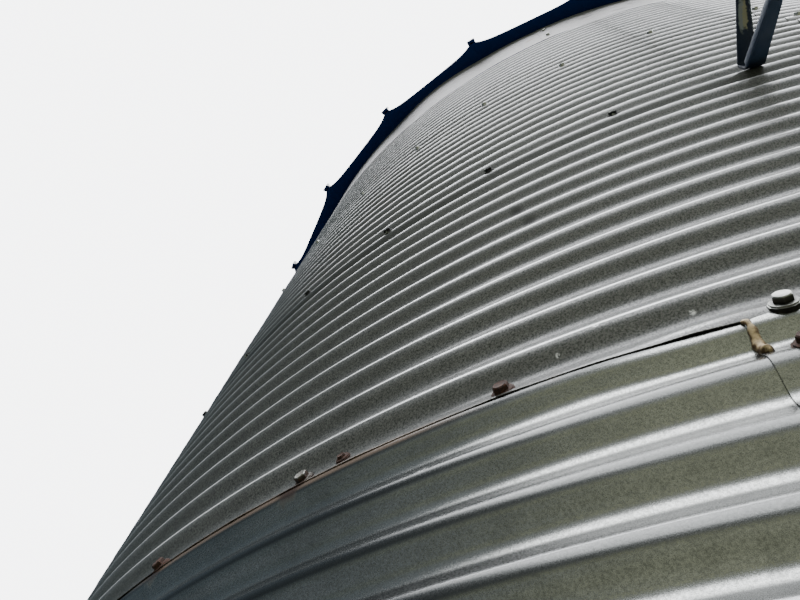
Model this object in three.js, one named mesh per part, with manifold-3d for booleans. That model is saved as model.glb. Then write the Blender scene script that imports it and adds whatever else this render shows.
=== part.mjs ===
// Grain silo: a round bin of corrugated galvanised sheets with a plain eave band and a ribbed cone roof.
// Millimetres, +Z up. The origin is on the ground on the silo's axis.
// Azimuth is in degrees from -Y toward +X.
import * as THREE from 'three';
import { mergeVertices } from 'three/addons/utils/BufferGeometryUtils.js';
import Module from 'manifold-3d';

const wasm = await Module();
wasm.setup();

// Driving dimensions
const PITCH = 67.733;            // one corrugation, 2 2/3 inches
const WAVE_DEPTH = 12.7;         // crest to valley, half an inch
const CREST_RADIUS = 2350;       // silo axis to the crests
const RING_PITCHES = 12;         // corrugations in one sheet
const RINGS = 5;                 // corrugated rings from the ground up
const BAND_PITCHES = 7;          // height of the plain eave band, in corrugations
const BOLTS_AROUND = 54;         // bolt columns around the wall
const BOLT_AZIMUTH = 2.7;        // azimuth of one bolt column, degrees
const ROOF_SLOPE = 30;           // degrees above level
const ROOF_PANELS = 27;          // one panel for every two bolt columns
const RIB_AZIMUTH = 9.1;         // azimuth of one roof rib, degrees
const LADDER_AZIMUTH = 12.95;    // ladder's middle, degrees
const GAP = 0.3;                 // clearance between pieces that touch

// Wall and base
const ARCS_PER_RING = 3;         // arcs of a ring, each of two sheets lapped and bolted
const WALL_FACETS = 27;          // flat facets around the wall, one of them centred behind the ladder
const BAND_FACETS = 81;          // facets around the eave band, cornered under the roof panels' middles
const SHELL_BACK = 4;            // shell thickness behind the valleys
const BAND_THICKNESS = 5;
const BASE_LEG = 50;             // legs of the base angle
const BASE_THICKNESS = 6;

// Roof
const PANEL_THICKNESS = 4;
const PANEL_FOOT = 1.0315;       // panel edge between the ribs, in crest radii
const RIB_FOOT = 1.0515;         // rib end, in crest radii
const RIB_OVERHANG = 18;         // how far a rib runs past the panels beside it
const RIB_WIDTH = 40;
const RIB_HEIGHT = 42;
const FLARE_WIDTH = 100;         // how far the panel edge sweeps out beside a rib
const BEND_WIDTH = 40;           // width of the sweep's steeper end
const BEND_SHARE = 0.55;         // share of the sweep's reach at which it grows steeper
const COLLAR_RADIUS = 300;
const COLLAR_HEIGHT = 120;
const COLLAR_DEPTH = 30;         // how far the collar reaches down inside the roof
const COLLAR_THICKNESS = 6;
const SKIRT_RADIUS = 380;
const SKIRT_THICKNESS = 4;
const RIB_TOP_RADIUS = 392;      // the ribs stop outside the collar's skirt
const PANELS_PER_SECTOR = 3;
const LID_RADIUS = 336;
const LID_RISE = 70;
const LID_LIP = 40;
const LID_THICKNESS = 5;
const LID_SEAT = 24;             // width of the lid's level ring over the collar

// Ladder
const RAIL_SPACING = 294;
const RAIL_RADIUS = 2524;        // silo axis to the rails
const RAIL_DEPTH = 40;
const RAIL_THICKNESS = 10;
const LADDER_FOOT = 9.485;       // rail ends, in corrugations above ground
const LADDER_HEAD = 80;
const RUNG_SPACING = 305;
const RUNG_DIAMETER = 22;
const RUNG_SIDES = 8;
const LOWER_BRACKET = 14.45;     // level legs of the straps, in corrugations above ground
const UPPER_BRACKET = 36.45;
const STRAP_WIDTH = 30;
const STRAP_THICKNESS = 6;
const STRAP_FOOT = 34;           // height on the wall between the two legs
const STRAP_DROP = 165;          // how far the raking leg comes down
const STRAP_TAB = 26;            // height of the tabs on the rail, above and below

const degrees = THREE.MathUtils.degToRad;
const RING_HEIGHT = RING_PITCHES * PITCH;
const WALL_TOP = RINGS * RING_HEIGHT;
const EAVE = WALL_TOP + BAND_PITCHES * PITCH;
const BOLT_STEP = 360 / BOLTS_AROUND;
const PANEL_STEP = 360 / ROOF_PANELS;
const SLOPE = Math.tan(degrees(ROOF_SLOPE));
const HALF_PANEL = Math.cos(degrees(PANEL_STEP / 2));
const PANEL_DROP = PANEL_THICKNESS / Math.cos(degrees(ROOF_SLOPE));
const APEX = EAVE + GAP + PANEL_DROP + CREST_RADIUS * SLOPE / HALF_PANEL;

// Which bolt column the first lap of each ring stands on, so that laps break joint
const RING_LAPS = [5, 0, 3, 2, 3];
const BAND_LAP = 0;
const LAP_OFFSET = -0.6;         // lap edge from its bolt column, degrees

// Azimuth of one corner of the wall's and of the band's facets
const WALL_CORNER = LADDER_AZIMUTH - 180 / WALL_FACETS;
const BAND_CORNER = RIB_AZIMUTH - PANEL_STEP / 2;

const galvanised = { color: 0x8e9194, roughness: 0.5, metalness: 0.75 };
const dullGalvanised = { color: 0x7c8084, roughness: 0.6, metalness: 0.7 };
const paleGalvanised = { color: 0xa9abac, roughness: 0.55, metalness: 0.65 };
const darkSteel = { color: 0x3c444c, roughness: 0.55, metalness: 0.6 };

const silo = new THREE.Group();

function addPiece(name, geometry, look, parent = silo) {
  const mesh = new THREE.Mesh(geometry, new THREE.MeshStandardMaterial(look));
  mesh.name = name;
  parent.add(mesh);
  return mesh;
}

// A point at a radius and height on the silo, with its azimuth in degrees
function onSilo(radius, azimuth, z) {
  const a = degrees(azimuth);
  return [radius * Math.sin(a), -radius * Math.cos(a), z];
}

// Triangles that fill a closed plan outline, turning the same way as the outline does
function capFaces(plan) {
  const faces = THREE.ShapeUtils.triangulateShape(plan, []);
  return THREE.ShapeUtils.isClockWise(plan) ? faces.map(([a, b, c]) => [a, c, b]) : faces;
}

// Builds the mesh, turning every face round when its volume comes out negative
function facingOut(positions, index) {
  const geometry = new THREE.BufferGeometry();
  geometry.setAttribute('position', new THREE.Float32BufferAttribute(positions, 3));
  const corner = [new THREE.Vector3(), new THREE.Vector3(), new THREE.Vector3()];
  let volume = 0;
  for (let i = 0; i < index.length; i += 3) {
    corner.forEach((v, k) => v.fromArray(positions, 3 * index[i + k]));
    volume += corner[0].dot(corner[1].cross(corner[2]));
  }
  if (volume < 0) {
    for (let i = 0; i < index.length; i += 3) [index[i + 1], index[i + 2]] = [index[i + 2], index[i + 1]];
  }
  geometry.setIndex(index);
  return geometry;
}

// A closed solid through a row of like outlines, the first and the last one capped
function loft(outlines, plan) {
  const count = plan.length;
  const index = [];
  for (let row = 0; row < outlines.length - 1; row++) {
    for (let i = 0; i < count; i++) {
      const a = row * count + i;
      const b = row * count + (i + 1) % count;
      index.push(a, b, b + count, a, b + count, a + count);
    }
  }
  const last = (outlines.length - 1) * count;
  for (const [a, b, c] of capFaces(plan)) index.push(a, c, b, last + a, last + b, last + c);
  return facingOut(outlines.flat(2), index);
}

// How much nearer the axis a facet lies at an azimuth than its corners do
function facetFactor(azimuth, facets, corner) {
  const step = 360 / facets;
  const along = THREE.MathUtils.euclideanModulo(azimuth - corner, step) - step / 2;
  return Math.cos(degrees(step / 2)) / Math.cos(degrees(along));
}

// Carries a closed outline of [radius, height] points around the facets from one azimuth to another
function arcSolid(outline, from, to, facets, corner) {
  const step = 360 / facets;
  const stops = [from];
  for (let a = corner + Math.ceil((from - corner) / step) * step; a < to; a += step) {
    if (a > from) stops.push(a);
  }
  stops.push(to);
  const rows = stops.map((azimuth) => {
    const factor = facetFactor(azimuth, facets, corner);
    return outline.map(([r, z]) => onSilo(r * factor, azimuth, z));
  });
  return loft(rows, outline.map(([r, z]) => new THREE.Vector2(r, z)));
}

// A closed solid between two like outlines, lower and upper
function slab(lower, upper) {
  return loft([lower, upper], lower.map(([x, y]) => new THREE.Vector2(x, y)));
}

// The geometry with its vertices shared and its flattened triangles left out
function shared(geometry) {
  const bare = geometry.clone();
  bare.deleteAttribute('normal');
  bare.deleteAttribute('uv');
  const merged = mergeVertices(bare, 1e-3);
  const kept = [];
  for (let i = 0; i < merged.index.count; i += 3) {
    const [a, b, c] = [0, 1, 2].map((k) => merged.index.getX(i + k));
    if (a !== b && b !== c && c !== a) kept.push(a, b, c);
  }
  merged.setIndex(kept);
  return merged;
}

// A closed geometry as a solid for joining and cutting
function solid(geometry) {
  const merged = shared(geometry);
  return new wasm.Manifold(new wasm.Mesh({
    numProp: 3,
    vertProperties: merged.attributes.position.array,
    triVerts: Uint32Array.from(merged.index.array),
  }));
}

function geometryOf(manifold) {
  const mesh = manifold.getMesh();
  const geometry = new THREE.BufferGeometry();
  geometry.setAttribute('position', new THREE.BufferAttribute(Float32Array.from(mesh.vertProperties), 3));
  geometry.setIndex(Array.from(mesh.triVerts));
  return geometry;
}

// A box from its size and centre
function box(size, centre) {
  return new THREE.BoxGeometry(...size).translate(...centre);
}

// A lathe of a profile of [radius, height] points, one facet a roof panel and cornered on the ribs
function revolved(profile) {
  const points = [...profile, profile[0]].map(([r, z]) => new THREE.Vector2(r, z));
  const lathe = new THREE.LatheGeometry(points, ROOF_PANELS).rotateX(Math.PI / 2);
  const merged = shared(lathe.rotateZ(degrees(RIB_AZIMUTH)));
  return facingOut(Array.from(merged.attributes.position.array), Array.from(merged.index.array));
}

// Outline of a corrugated sheet, crest to crest, with a plain back
function waveOutline(bottom, top) {
  const outline = [];
  for (let i = 0; i <= 2 * RING_PITCHES; i++) {
    const z = THREE.MathUtils.clamp(bottom + i * PITCH / 2, bottom, top - GAP);
    outline.push([i % 2 ? CREST_RADIUS - WAVE_DEPTH : CREST_RADIUS, z]);
  }
  const back = CREST_RADIUS - WAVE_DEPTH - SHELL_BACK;
  outline.push([back, top - GAP], [back, bottom]);
  return outline;
}

function addArcs(prefix, outline, lap, look, facets, corner) {
  const span = 360 / ARCS_PER_RING;
  const clearance = THREE.MathUtils.radToDeg(GAP / CREST_RADIUS);
  for (let s = 0; s < ARCS_PER_RING; s++) {
    const from = BOLT_AZIMUTH + LAP_OFFSET + lap * BOLT_STEP + s * span;
    addPiece(`${prefix}_${s + 1}`, arcSolid(outline, from, from + span - clearance, facets, corner), look);
  }
}

function addWall() {
  for (let ring = 0; ring < RINGS; ring++) {
    const bottom = ring * RING_HEIGHT;
    const outline = waveOutline(bottom, bottom + RING_HEIGHT);
    addArcs(`wall_ring_${ring + 1}_sheet`, outline, RING_LAPS[ring], galvanised, WALL_FACETS, WALL_CORNER);
  }
}

function addEaveBand() {
  const inner = CREST_RADIUS - BAND_THICKNESS;
  const outline = [[CREST_RADIUS, WALL_TOP], [CREST_RADIUS, EAVE], [inner, EAVE], [inner, WALL_TOP]];
  addArcs('eave_band_sheet', outline, BAND_LAP, paleGalvanised, BAND_FACETS, BAND_CORNER);
}

// Angle around the foot of the wall, one leg up against the crests and one flat on the ground
function addBaseAngle() {
  const inner = CREST_RADIUS + GAP;
  const outline = [
    [inner, 0], [inner + BASE_LEG, 0], [inner + BASE_LEG, BASE_THICKNESS],
    [inner + BASE_THICKNESS, BASE_THICKNESS], [inner + BASE_THICKNESS, BASE_LEG], [inner, BASE_LEG],
  ];
  addArcs('base_angle', outline, RING_LAPS[0], dullGalvanised, WALL_FACETS, WALL_CORNER);
}

// Height of the roof's upper face over a rib line
function ribLineHeight(radius) {
  return APEX - radius * SLOPE;
}

// One flat panel between two rib lines, its foot swept out beside each rib
function panelSolid(centre) {
  const half = PANEL_STEP / 2;
  const foot = PANEL_FOOT * CREST_RADIUS;
  const tip = RIB_FOOT * CREST_RADIUS - RIB_OVERHANG;
  const top = COLLAR_RADIUS / HALF_PANEL + GAP;
  const flare = THREE.MathUtils.radToDeg(FLARE_WIDTH / foot);
  const bend = THREE.MathUtils.radToDeg(BEND_WIDTH / foot);
  const bendRadius = foot + BEND_SHARE * (tip - foot);
  const middle = foot * Math.cos(degrees(half - flare));
  const side = [[foot, half - flare], [bendRadius, half - bend], [tip, half], [top, half]];
  const mirrored = side.map(([r, a]) => [r, -a]).reverse();
  const corners = [...mirrored, [middle, 0], ...side];
  const face = (lift) => corners.map(([r, a]) => {
    const flat = r * Math.cos(degrees(a)) / HALF_PANEL;
    return onSilo(r, centre + a, APEX - flat * SLOPE + lift);
  });
  return slab(face(-PANEL_DROP), face(0));
}

// The raised rib over one joint between panels, grown on every side by a clearance
function ribSolid(azimuth, clearance = 0) {
  const half = RIB_WIDTH / 2 + clearance;
  const start = RIB_TOP_RADIUS - clearance;
  const end = RIB_FOOT * CREST_RADIUS + clearance;
  const plan = [[start, -half], [end, -half], [end, half], [start, half]];
  const face = (lift) => plan.map(([along, across]) => {
    const [x, y] = onSilo(along, azimuth, 0);
    const [dx, dy] = onSilo(across, azimuth + 90, 0);
    return [x + dx, y + dy, ribLineHeight(along) + lift];
  });
  return slab(face(-PANEL_DROP - clearance), face(RIB_HEIGHT + clearance));
}

// An upright slice beyond a rib line and a gap short of it, which parts two sectors above the rib's end
function jointSlice(azimuth) {
  const length = RIB_TOP_RADIUS;
  const slice = box([RIB_WIDTH, length, 2 * APEX], [RIB_WIDTH / 2 - GAP, -length / 2, 0]);
  return slice.rotateZ(degrees(azimuth));
}

// Each sector is three panels with the ribs on their first edges, cut clear of the next sector's rib
function addRoof() {
  const span = PANELS_PER_SECTOR * PANEL_STEP;
  for (let s = 0; s < ROOF_PANELS / PANELS_PER_SECTOR; s++) {
    const first = RIB_AZIMUTH + s * span;
    const joints = Array.from({ length: PANELS_PER_SECTOR }, (_, p) => first + p * PANEL_STEP);
    const parts = joints.flatMap((joint) => [panelSolid(joint + PANEL_STEP / 2), ribSolid(joint)]);
    const whole = parts.map(solid).reduce((sum, part) => sum.add(part));
    const next = first + span;
    const cut = whole.subtract(solid(ribSolid(next, GAP))).subtract(solid(jointSlice(next)));
    addPiece(`roof_sector_${s + 1}`, geometryOf(cut), galvanised);
  }
}

// Ring that the panels' tops hang on: an upright collar with a skirt that lies over them
function addCollar() {
  const outer = COLLAR_RADIUS;
  const inner = COLLAR_RADIUS - COLLAR_THICKNESS;
  const bottom = ribLineHeight(outer) - COLLAR_DEPTH;
  const top = ribLineHeight(outer) + COLLAR_HEIGHT;
  const skirt = (radius, lift) => [radius, ribLineHeight(radius) + GAP + lift];
  const profile = [
    [inner, bottom], [outer, bottom], skirt(outer, 0), skirt(SKIRT_RADIUS, 0),
    skirt(SKIRT_RADIUS, SKIRT_THICKNESS), skirt(outer, SKIRT_THICKNESS), [outer, top], [inner, top],
  ];
  addPiece('roof_collar', revolved(profile), dullGalvanised);
}

// Shallow cap that rests on the collar, its lip reaching down outside
function addLid() {
  const seat = ribLineHeight(COLLAR_RADIUS) + COLLAR_HEIGHT + GAP;
  const inner = LID_RADIUS - LID_THICKNESS;
  const hollow = COLLAR_RADIUS - LID_SEAT;
  const profile = [
    [0, seat + LID_RISE], [LID_RADIUS, seat + LID_THICKNESS], [LID_RADIUS, seat - LID_LIP],
    [inner, seat - LID_LIP], [inner, seat], [hollow, seat], [0, seat + LID_RISE - LID_THICKNESS],
  ];
  addPiece('roof_lid', revolved(profile), dullGalvanised);
}

// Each strap stands square to the wall, in the plane of the silo's axis and its rail
const RAIL_ANGLE = THREE.MathUtils.radToDeg(Math.atan2(RAIL_SPACING / 2, RAIL_RADIUS));

const ladder = new THREE.Group();
ladder.rotation.z = degrees(LADDER_AZIMUTH);

// Welded ladder of two flat rails and round rungs
function addLadder() {
  const foot = LADDER_FOOT * PITCH;
  const head = LADDER_HEAD * PITCH;
  const rails = [-1, 1].map((side) => solid(box([RAIL_THICKNESS, RAIL_DEPTH, head - foot],
    [side * RAIL_SPACING / 2, -RAIL_RADIUS, (head + foot) / 2])));
  const rungs = [];
  const radius = RUNG_DIAMETER / 2;
  for (let z = foot + RUNG_SPACING / 2; z < head - RUNG_DIAMETER; z += RUNG_SPACING) {
    const rung = new THREE.CylinderGeometry(radius, radius, RAIL_SPACING, RUNG_SIDES);
    rungs.push(solid(rung.rotateZ(Math.PI / 2).translate(0, -RAIL_RADIUS, z)));
  }
  const frame = [...rails, ...rungs].reduce((sum, part) => sum.add(part));
  addPiece('ladder', geometryOf(frame), dullGalvanised, ladder);
}

// How far from the axis, along an azimuth, the wall's facets lie at a place beside that azimuth
function wallDistance(azimuth, sideways) {
  const step = 360 / WALL_FACETS;
  const inscribed = CREST_RADIUS * Math.cos(degrees(step / 2));
  const distances = [];
  for (let f = 0; f < WALL_FACETS; f++) {
    const turned = degrees(WALL_CORNER + (f + 0.5) * step - azimuth);
    const facing = Math.cos(turned);
    if (facing > 0) distances.push((inscribed - sideways * Math.sin(turned)) / facing);
  }
  return Math.min(...distances);
}

// V-shaped strap: a foot on the wall, a level leg, a raking leg and two tabs along the rail
function strapGeometry(wall) {
  const angle = degrees(RAIL_ANGLE);
  const corner = RAIL_THICKNESS / 2 * Math.tan(angle);
  const rail = (RAIL_RADIUS - RAIL_DEPTH / 2) / Math.cos(angle) - corner - GAP;
  const t = STRAP_THICKNESS;
  const slant = t / Math.cos(Math.atan2(STRAP_DROP - STRAP_FOOT, rail - wall - 2 * t));
  const outside = [
    [wall, t], [rail - t, t], [rail - t, STRAP_TAB], [rail, STRAP_TAB],
    [rail, -STRAP_DROP - slant - STRAP_TAB], [rail - t, -STRAP_DROP - slant - STRAP_TAB],
    [rail - t, -STRAP_DROP - slant], [wall + t, -STRAP_FOOT - slant], [wall, -STRAP_FOOT - slant],
  ];
  const inside = [[wall + t, -STRAP_FOOT], [rail - t, -STRAP_DROP], [rail - t, 0], [wall + t, 0]];
  const point = ([along, up]) => new THREE.Vector2(along, up);
  const shape = new THREE.Shape(outside.map(point));
  shape.holes.push(new THREE.Path(inside.map(point)));
  const strap = new THREE.ExtrudeGeometry(shape, { depth: STRAP_WIDTH, bevelEnabled: false });
  strap.translate(0, 0, -STRAP_WIDTH / 2);
  // the shape's first axis becomes -Y and its second becomes +Z
  strap.applyMatrix4(new THREE.Matrix4().set(0, 0, -1, 0, -1, 0, 0, 0, 0, 1, 0, 0, 0, 0, 0, 1));
  return strap;
}

function addBrackets(level, height) {
  for (const [side, word] of [[-1, 'left'], [1, 'right']]) {
    const turned = side * RAIL_ANGLE;
    const edges = [-STRAP_WIDTH / 2, 0, STRAP_WIDTH / 2];
    const distances = edges.map((x) => wallDistance(LADDER_AZIMUTH + turned, x));
    const seat = Math.max(...distances) + GAP;
    const strap = shared(strapGeometry(seat));
    const bracket = addPiece(`ladder_bracket_${level}_${word}`, strap, darkSteel, ladder);
    bracket.position.z = height * PITCH;
    bracket.rotation.z = degrees(turned);
  }
}

addBaseAngle();
addWall();
addEaveBand();
addRoof();
addCollar();
addLid();
addLadder();
addBrackets('lower', LOWER_BRACKET);
addBrackets('upper', UPPER_BRACKET);
silo.add(ladder);

export default silo;
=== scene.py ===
"""Grain silo of corrugated galvanised sheets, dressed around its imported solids.

Lengths are in metres. Z runs up the silo's axis and -Y points to the photograph's side. An azimuth
is in degrees from -Y toward +X. A height given in pitches counts corrugations above the ground.
"""

import math

import bpy
import numpy as np
from bpy.props import (
    FloatProperty,
    FloatVectorProperty,
    IntProperty,
    PointerProperty,
)
from mathutils import Matrix, Vector


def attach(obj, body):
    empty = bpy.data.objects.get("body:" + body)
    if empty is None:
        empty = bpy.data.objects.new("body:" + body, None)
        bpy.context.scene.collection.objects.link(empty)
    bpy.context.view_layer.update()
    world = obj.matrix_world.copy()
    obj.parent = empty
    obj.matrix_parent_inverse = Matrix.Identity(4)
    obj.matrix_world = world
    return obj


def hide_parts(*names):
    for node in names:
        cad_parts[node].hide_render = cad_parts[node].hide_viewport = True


bl_info = {
    "name": "Corrugated grain silo",
    "version": (1, 0, 0),
    "blender": (4, 5, 0),
    "location": "View3D > Sidebar > Silo",
    "description": "Builds a weathered corrugated grain silo around its fixed frame",
    "category": "Object",
}

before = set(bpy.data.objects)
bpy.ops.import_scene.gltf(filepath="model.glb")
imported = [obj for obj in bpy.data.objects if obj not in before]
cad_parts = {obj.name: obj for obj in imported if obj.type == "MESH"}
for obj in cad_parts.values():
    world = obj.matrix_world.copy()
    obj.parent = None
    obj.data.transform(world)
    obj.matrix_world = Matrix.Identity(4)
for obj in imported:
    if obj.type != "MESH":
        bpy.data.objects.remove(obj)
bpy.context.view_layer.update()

# Corrugations in a ring, bolt columns round the wall, and the azimuth of one of them
RING_PITCHES = 12
BOLTS_AROUND = 54
BOLT_AZIMUTH = 2.7
# Bolt column that the first lap of each ring stands on, from the ground up
RING_LAPS = (5, 0, 3, 2, 3)
BAND_LAP = 0
ARCS_PER_RING = 3
SHEETS_PER_ARC = 2
SHEET_SPAN = 360 / (ARCS_PER_RING * SHEETS_PER_ARC)
PANELS_PER_SECTOR = 3
# How far each seam's bolts stand aside of the common bolt columns, degrees
COLUMN_DRIFT = (0.3, 0.4, 0.42, 0.45, 0.25)
# How far the laps of each ring and of the band stand aside of theirs, degrees
LAP_DRIFT = (0.0, 0.12, 0.0, 0.1, 0.0, 0.95)

# Ring whose foot has come loose over the one under it
LOOSE_RING = 2
# Bolts over the loose seam in view: azimuth, height over the seam in pitches, and how far each has rusted
LOOSE_BOLTS = (
    (3.12, 0.01, 0.05), (-3.32, 0.26, 0.95), (-10.03, 0.36, 0.42), (-16.77, 0.23, 0.6), (-23.5, 0.25, 0.7),
)
# A bare bolt end beside them, in the same terms
BOLT_END = (-8.6, 0.46, 0.75)
# Lower edge of the loose ring's sheets: azimuths, and heights over the seam in pitches
LOOSE_FOOT = ((-30, -8, -3, -0.8, 1.0, 2.3, 5.0), (0.10, 0.10, 0.07, 0.03, -0.04, -0.11, -0.11))
# Lower edge of the sheets over the near seams and over the others, in pitches
SEAM_RISE, HIDDEN_SEAM_RISE = 0.10, 0.22
# The loose seam's gap, metres: at its closest, added by its unevenness, and added where it was pulled open
GAP_LEAST, GAP_UNEVEN, GAP_OPEN = 0.0002, 0.0010, 0.0018
# Azimuths where the pulled-open part begins and ends, and the degrees over which each fades
OPEN_START, OPEN_END, OPEN_RISE, OPEN_FALL = 0.2, 2.0, 1.4, 1.2
# How far the last crest under the loose seam has sunk, in pitches
HEAD_DROOP = 0.13
# Pitches over the seam where the sunk part begins and ends, and those over which each fades
DROOP_START, DROOP_END, DROOP_RISE, DROOP_FALL = -0.8, 0.38, 0.6, 0.33
# Azimuth where it begins, and the degrees over which it fades
DROOP_AZIMUTH, DROOP_SPREAD = -1.5, 3
# Pitches over which the sag of the loose foot fades
SAG_FADE = 0.4
# How far sheets run on over their last seam, and the uppermost ones into the band, in pitches
HEAD_TAIL, LAST_TAIL = 0.6, 0.3
# How far a lapped edge stands off, in sheet thicknesses: up to the loose ring, and above it
LOW_LAP_STAND, LAP_STAND = 2.0, 1.15
# Step that the lap under the loose ring gives its foot, in sheet thicknesses, and its run in degrees
LAP_STEP, LAP_STEP_RUN = 1.2, 0.5
# Degrees over which a lapped edge's lift fades, on the rings and on the band
SIDE_FADE, BAND_SIDE_FADE = 2.6, 2.4
# Pitches over which the lift of a sheet's foot fades
FOOT_FADE = 0.85
# How far sheets bow, and how far their heads tuck in behind the next ring, metres
BOW, TUCK = 0.0009, 0.004
# Pitches over the next ring's foot where the tuck begins, and those over which it grows
TUCK_START, TUCK_RUN = 0.02, 0.2
# Periods of the sines that make the gap, the sheets' bow, the band's foot and its face uneven, degrees
GAP_PERIODS, BOW_PERIODS = (23.0, 9.5, 5.1, 2.3), (41.0, 17.0, 29.0)
BAND_FOOT_PERIODS, BAND_PERIODS = (13.0, 6.1, 3.2), (7.0, 11.0, 19.0)
# Grid rows a corrugation, on the near rings and on the others
NEAR_ROWS, ROWS = 16, 12
# Grid columns of a sheet, degrees from its lapped edge, and how many more follow
EDGE_COLUMNS, PLAIN_COLUMNS = (0, 0.2, 0.5, 0.9, 1.4, 2.0, 2.8), 25
# Fine columns within the photograph: first, last and step, and how far off a sheet's two edges, degrees
FINE_AZIMUTHS, FINE_MARGINS = (-24, 12, 0.36), (2.1, 0.2)
# Gap between neighbouring pieces, metres
CLEARANCE = 0.0003

# How high the band's lower edge stands over the wall, and how far it wanders, metres
BAND_FOOT, BAND_WANDER = 0.010, 0.005
# How far the band stands off the crests, and its face's unevenness, metres
BAND_STAND, BAND_UNEVEN = 0.001, 0.0012
# Where the band meets the roof: metres off the crests, and roof thicknesses under the roof's face
EAVE_REACH, EAVE_DEPTH = 0.018, 1.8
# Grid of a band sheet: columns by its lapped edge in degrees, how many more follow, and its rows
BAND_EDGE_COLUMNS, BAND_COLUMNS, BAND_ROWS = (0, 0.4, 1.0, 1.8, 2.6), 120, 29
# Dents of the band: azimuth, and height over its foot in pitches
BAND_DENTS = ((8.3, 3.4), (11.6, 2.0), (-24.6, 2.6), (64.7, 3.0), (150.0, 2.2))
# Half width of a dent in degrees, half height and depth in metres
DENT_HALF_WIDTH, DENT_HALF_HEIGHT, DENT_DEPTH = 0.75, 0.03, 0.0022
# How far the band bulges at its top, and how much more round one azimuth, over so many degrees
BAND_BULGE, SWELLING, SWELLING_AZIMUTH, SWELLING_WIDTH = 0.005, 0.013, -10.5, 4.5

# Height of the other seam bolts over their seam in pitches, and how far their heads turn up in degrees
BOLT_RISE, BOLT_TILT = 0.23, 11.0
# The lap bolts' lowest height in pitches, the steps between them, and how far the wave tilts them in degrees
LAP_BOLT_RISE, LAP_BOLT_STEP, LAP_BOLT_TILT = 1.18, 2, 16
# Heights of the band's lap bolts, in pitches
BAND_BOLTS = (1.6, 4.9)
# How far lap bolts stand aside from their bolt column, and seam bolts stray from theirs, degrees
LAP_BOLT_ASIDE, BOLT_STRAY = 0.2, 0.12
# How far the bolts, the bare bolt end and the lap bolts are lifted off the wave, the last in thicknesses
BOLT_LIFT, BOLT_END_LIFT, LAP_BOLT_LIFT = 0.0006, 0.002, 2
# Rust of the bolts over the seam above the loose one, and what the loose lap's bolts have more than others
OLD_RUST, LOOSE_LAP_RUST = 1.6, 0.75
# How strong the painted shade of bolts and the rust of lap bolts are on the upper rings
FAR_BOLT_DARK = 0.1
# Sides of a bolt, and the sizes of an anchor nut and a screw: across flats, flange, head and washer
BOLT_SIDES = 12
ANCHOR, SCREW = (0.024, 0.017, 0.014), (0.010, 0.009, 0.006, 0.002)
# Bolt columns from one anchor to the next, and how far anchors stand off the wall, metres
ANCHOR_COLUMNS, ANCHOR_REACH = 3, 0.03
# Screws down a rib, the radius of the first, and how far the last stands off the rib's end, metres
RIB_SCREWS, FIRST_SCREW, LAST_SCREW = 6, 0.5, 0.09
# The bead over the lap: its upper end under the seam and its length in pitches, its start off the lap's edge
# and how far it drifts, in degrees
BEAD_TOP, BEAD_FALL, BEAD_START, BEAD_DRIFT = 0.09, 0.60, 0.03, 0.10
# The bead's half widths and half thicknesses, metres, each at shares of its length
BEAD_WIDTHS = ((0, 0.06, 0.18, 0.4, 0.75, 0.93, 1), (0.0014, 0.0034, 0.0022, 0.0036, 0.0046, 0.0040, 0.0016))
BEAD_DEPTHS = ((0, 0.1, 0.6, 0.9, 1), (0.001, 0.0024, 0.0036, 0.0080, 0.003))

# Roundings of the base angle's section, corner by corner, metres; gap between its arcs in degrees, and its
# sections
BASE_ROUNDINGS, BASE_GAP, BASE_SECTIONS = (0.0004, 0.002, 0.002, 0.006, 0.002, 0.001), 0.12, 73

# Distances from a rib at which a roof panel has grid columns, metres, and its rows
PANEL_COLUMNS = (0, 0.006, 0.014, 0.022, 0.032, 0.045, 0.06, 0.08, 0.105, 0.135, 0.17, 0.21)
PANEL_ROWS = 25
# Distance from a rib up to which the flare stays full, and how far a panel sags at its middle, metres
FLARE_START, PANEL_SAG = 0.02, 0.004
# How much of a chord's bend a panel's edge follows, and its gap to the collar, metres
EDGE_BEND, PANEL_TOP_GAP = 0.9, 0.003
# How far a rib's feet stand out, and how high they begin and end over the panels, metres
RIB_FLANGE, RIB_FLOOR, RIB_FOOT_TOP = 0.006, 0.0008, 0.0035
# Thickness of a rib's sheet, and how far its sides lean in, metres
RIB_SKIN, RIB_LEAN = 0.003, 0.004
# Radii of a rib's sections between its ends, and its rounding, metres
RIB_SECTIONS, RIB_ROUNDING = (0.8, 1.4, 2.0, 2.3), 0.0022
# A rib's closure: how far it begins before and ends beyond the rib's last section, and how much higher it is
CLOSURE_BACK, CLOSURE_FRONT, CLOSURE_RISE = 0.010, 0.003, 0.004
# Sides of what is turned about the silo's axis
TURNED_SIDES = 108

# Places of a rung's grid rows from its end, and how far its weld swells and reaches, metres
RUNG_COLUMNS, WELD = np.array([0, 0.002, 0.004, 0.007, 0.012, 0.06]), 0.004
# Rounding of the rails, metres, sides of a rung, and how lumpy its welds are, as a share of its radius
RAIL_ROUNDING, RUNG_SIDES, WELD_LUMPS = 0.0025, 16, 0.05

# Width of a bolt column in pitches, and how far the crest line, a painted highlight, lies over a crest
COLUMN_PITCHES, CREST_LINE = 4.03, 0.04
# Bolt columns over which the loose seam's film rises and falls
FILM_COLUMNS = (-3.3, -2.8, -1.4, -0.9)
# Middle of the rust round a bolt: bolt columns aside, and pitches over the seam
HALO_ASIDE, HALO_RISE = 0.06, 0.15
# Painted shade: a dark strip under the second seam in view, where it rises and falls, in pitches
SEAM_SHADE_BAND = (35.0, 35.3, 35.95, 36.05)
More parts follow.
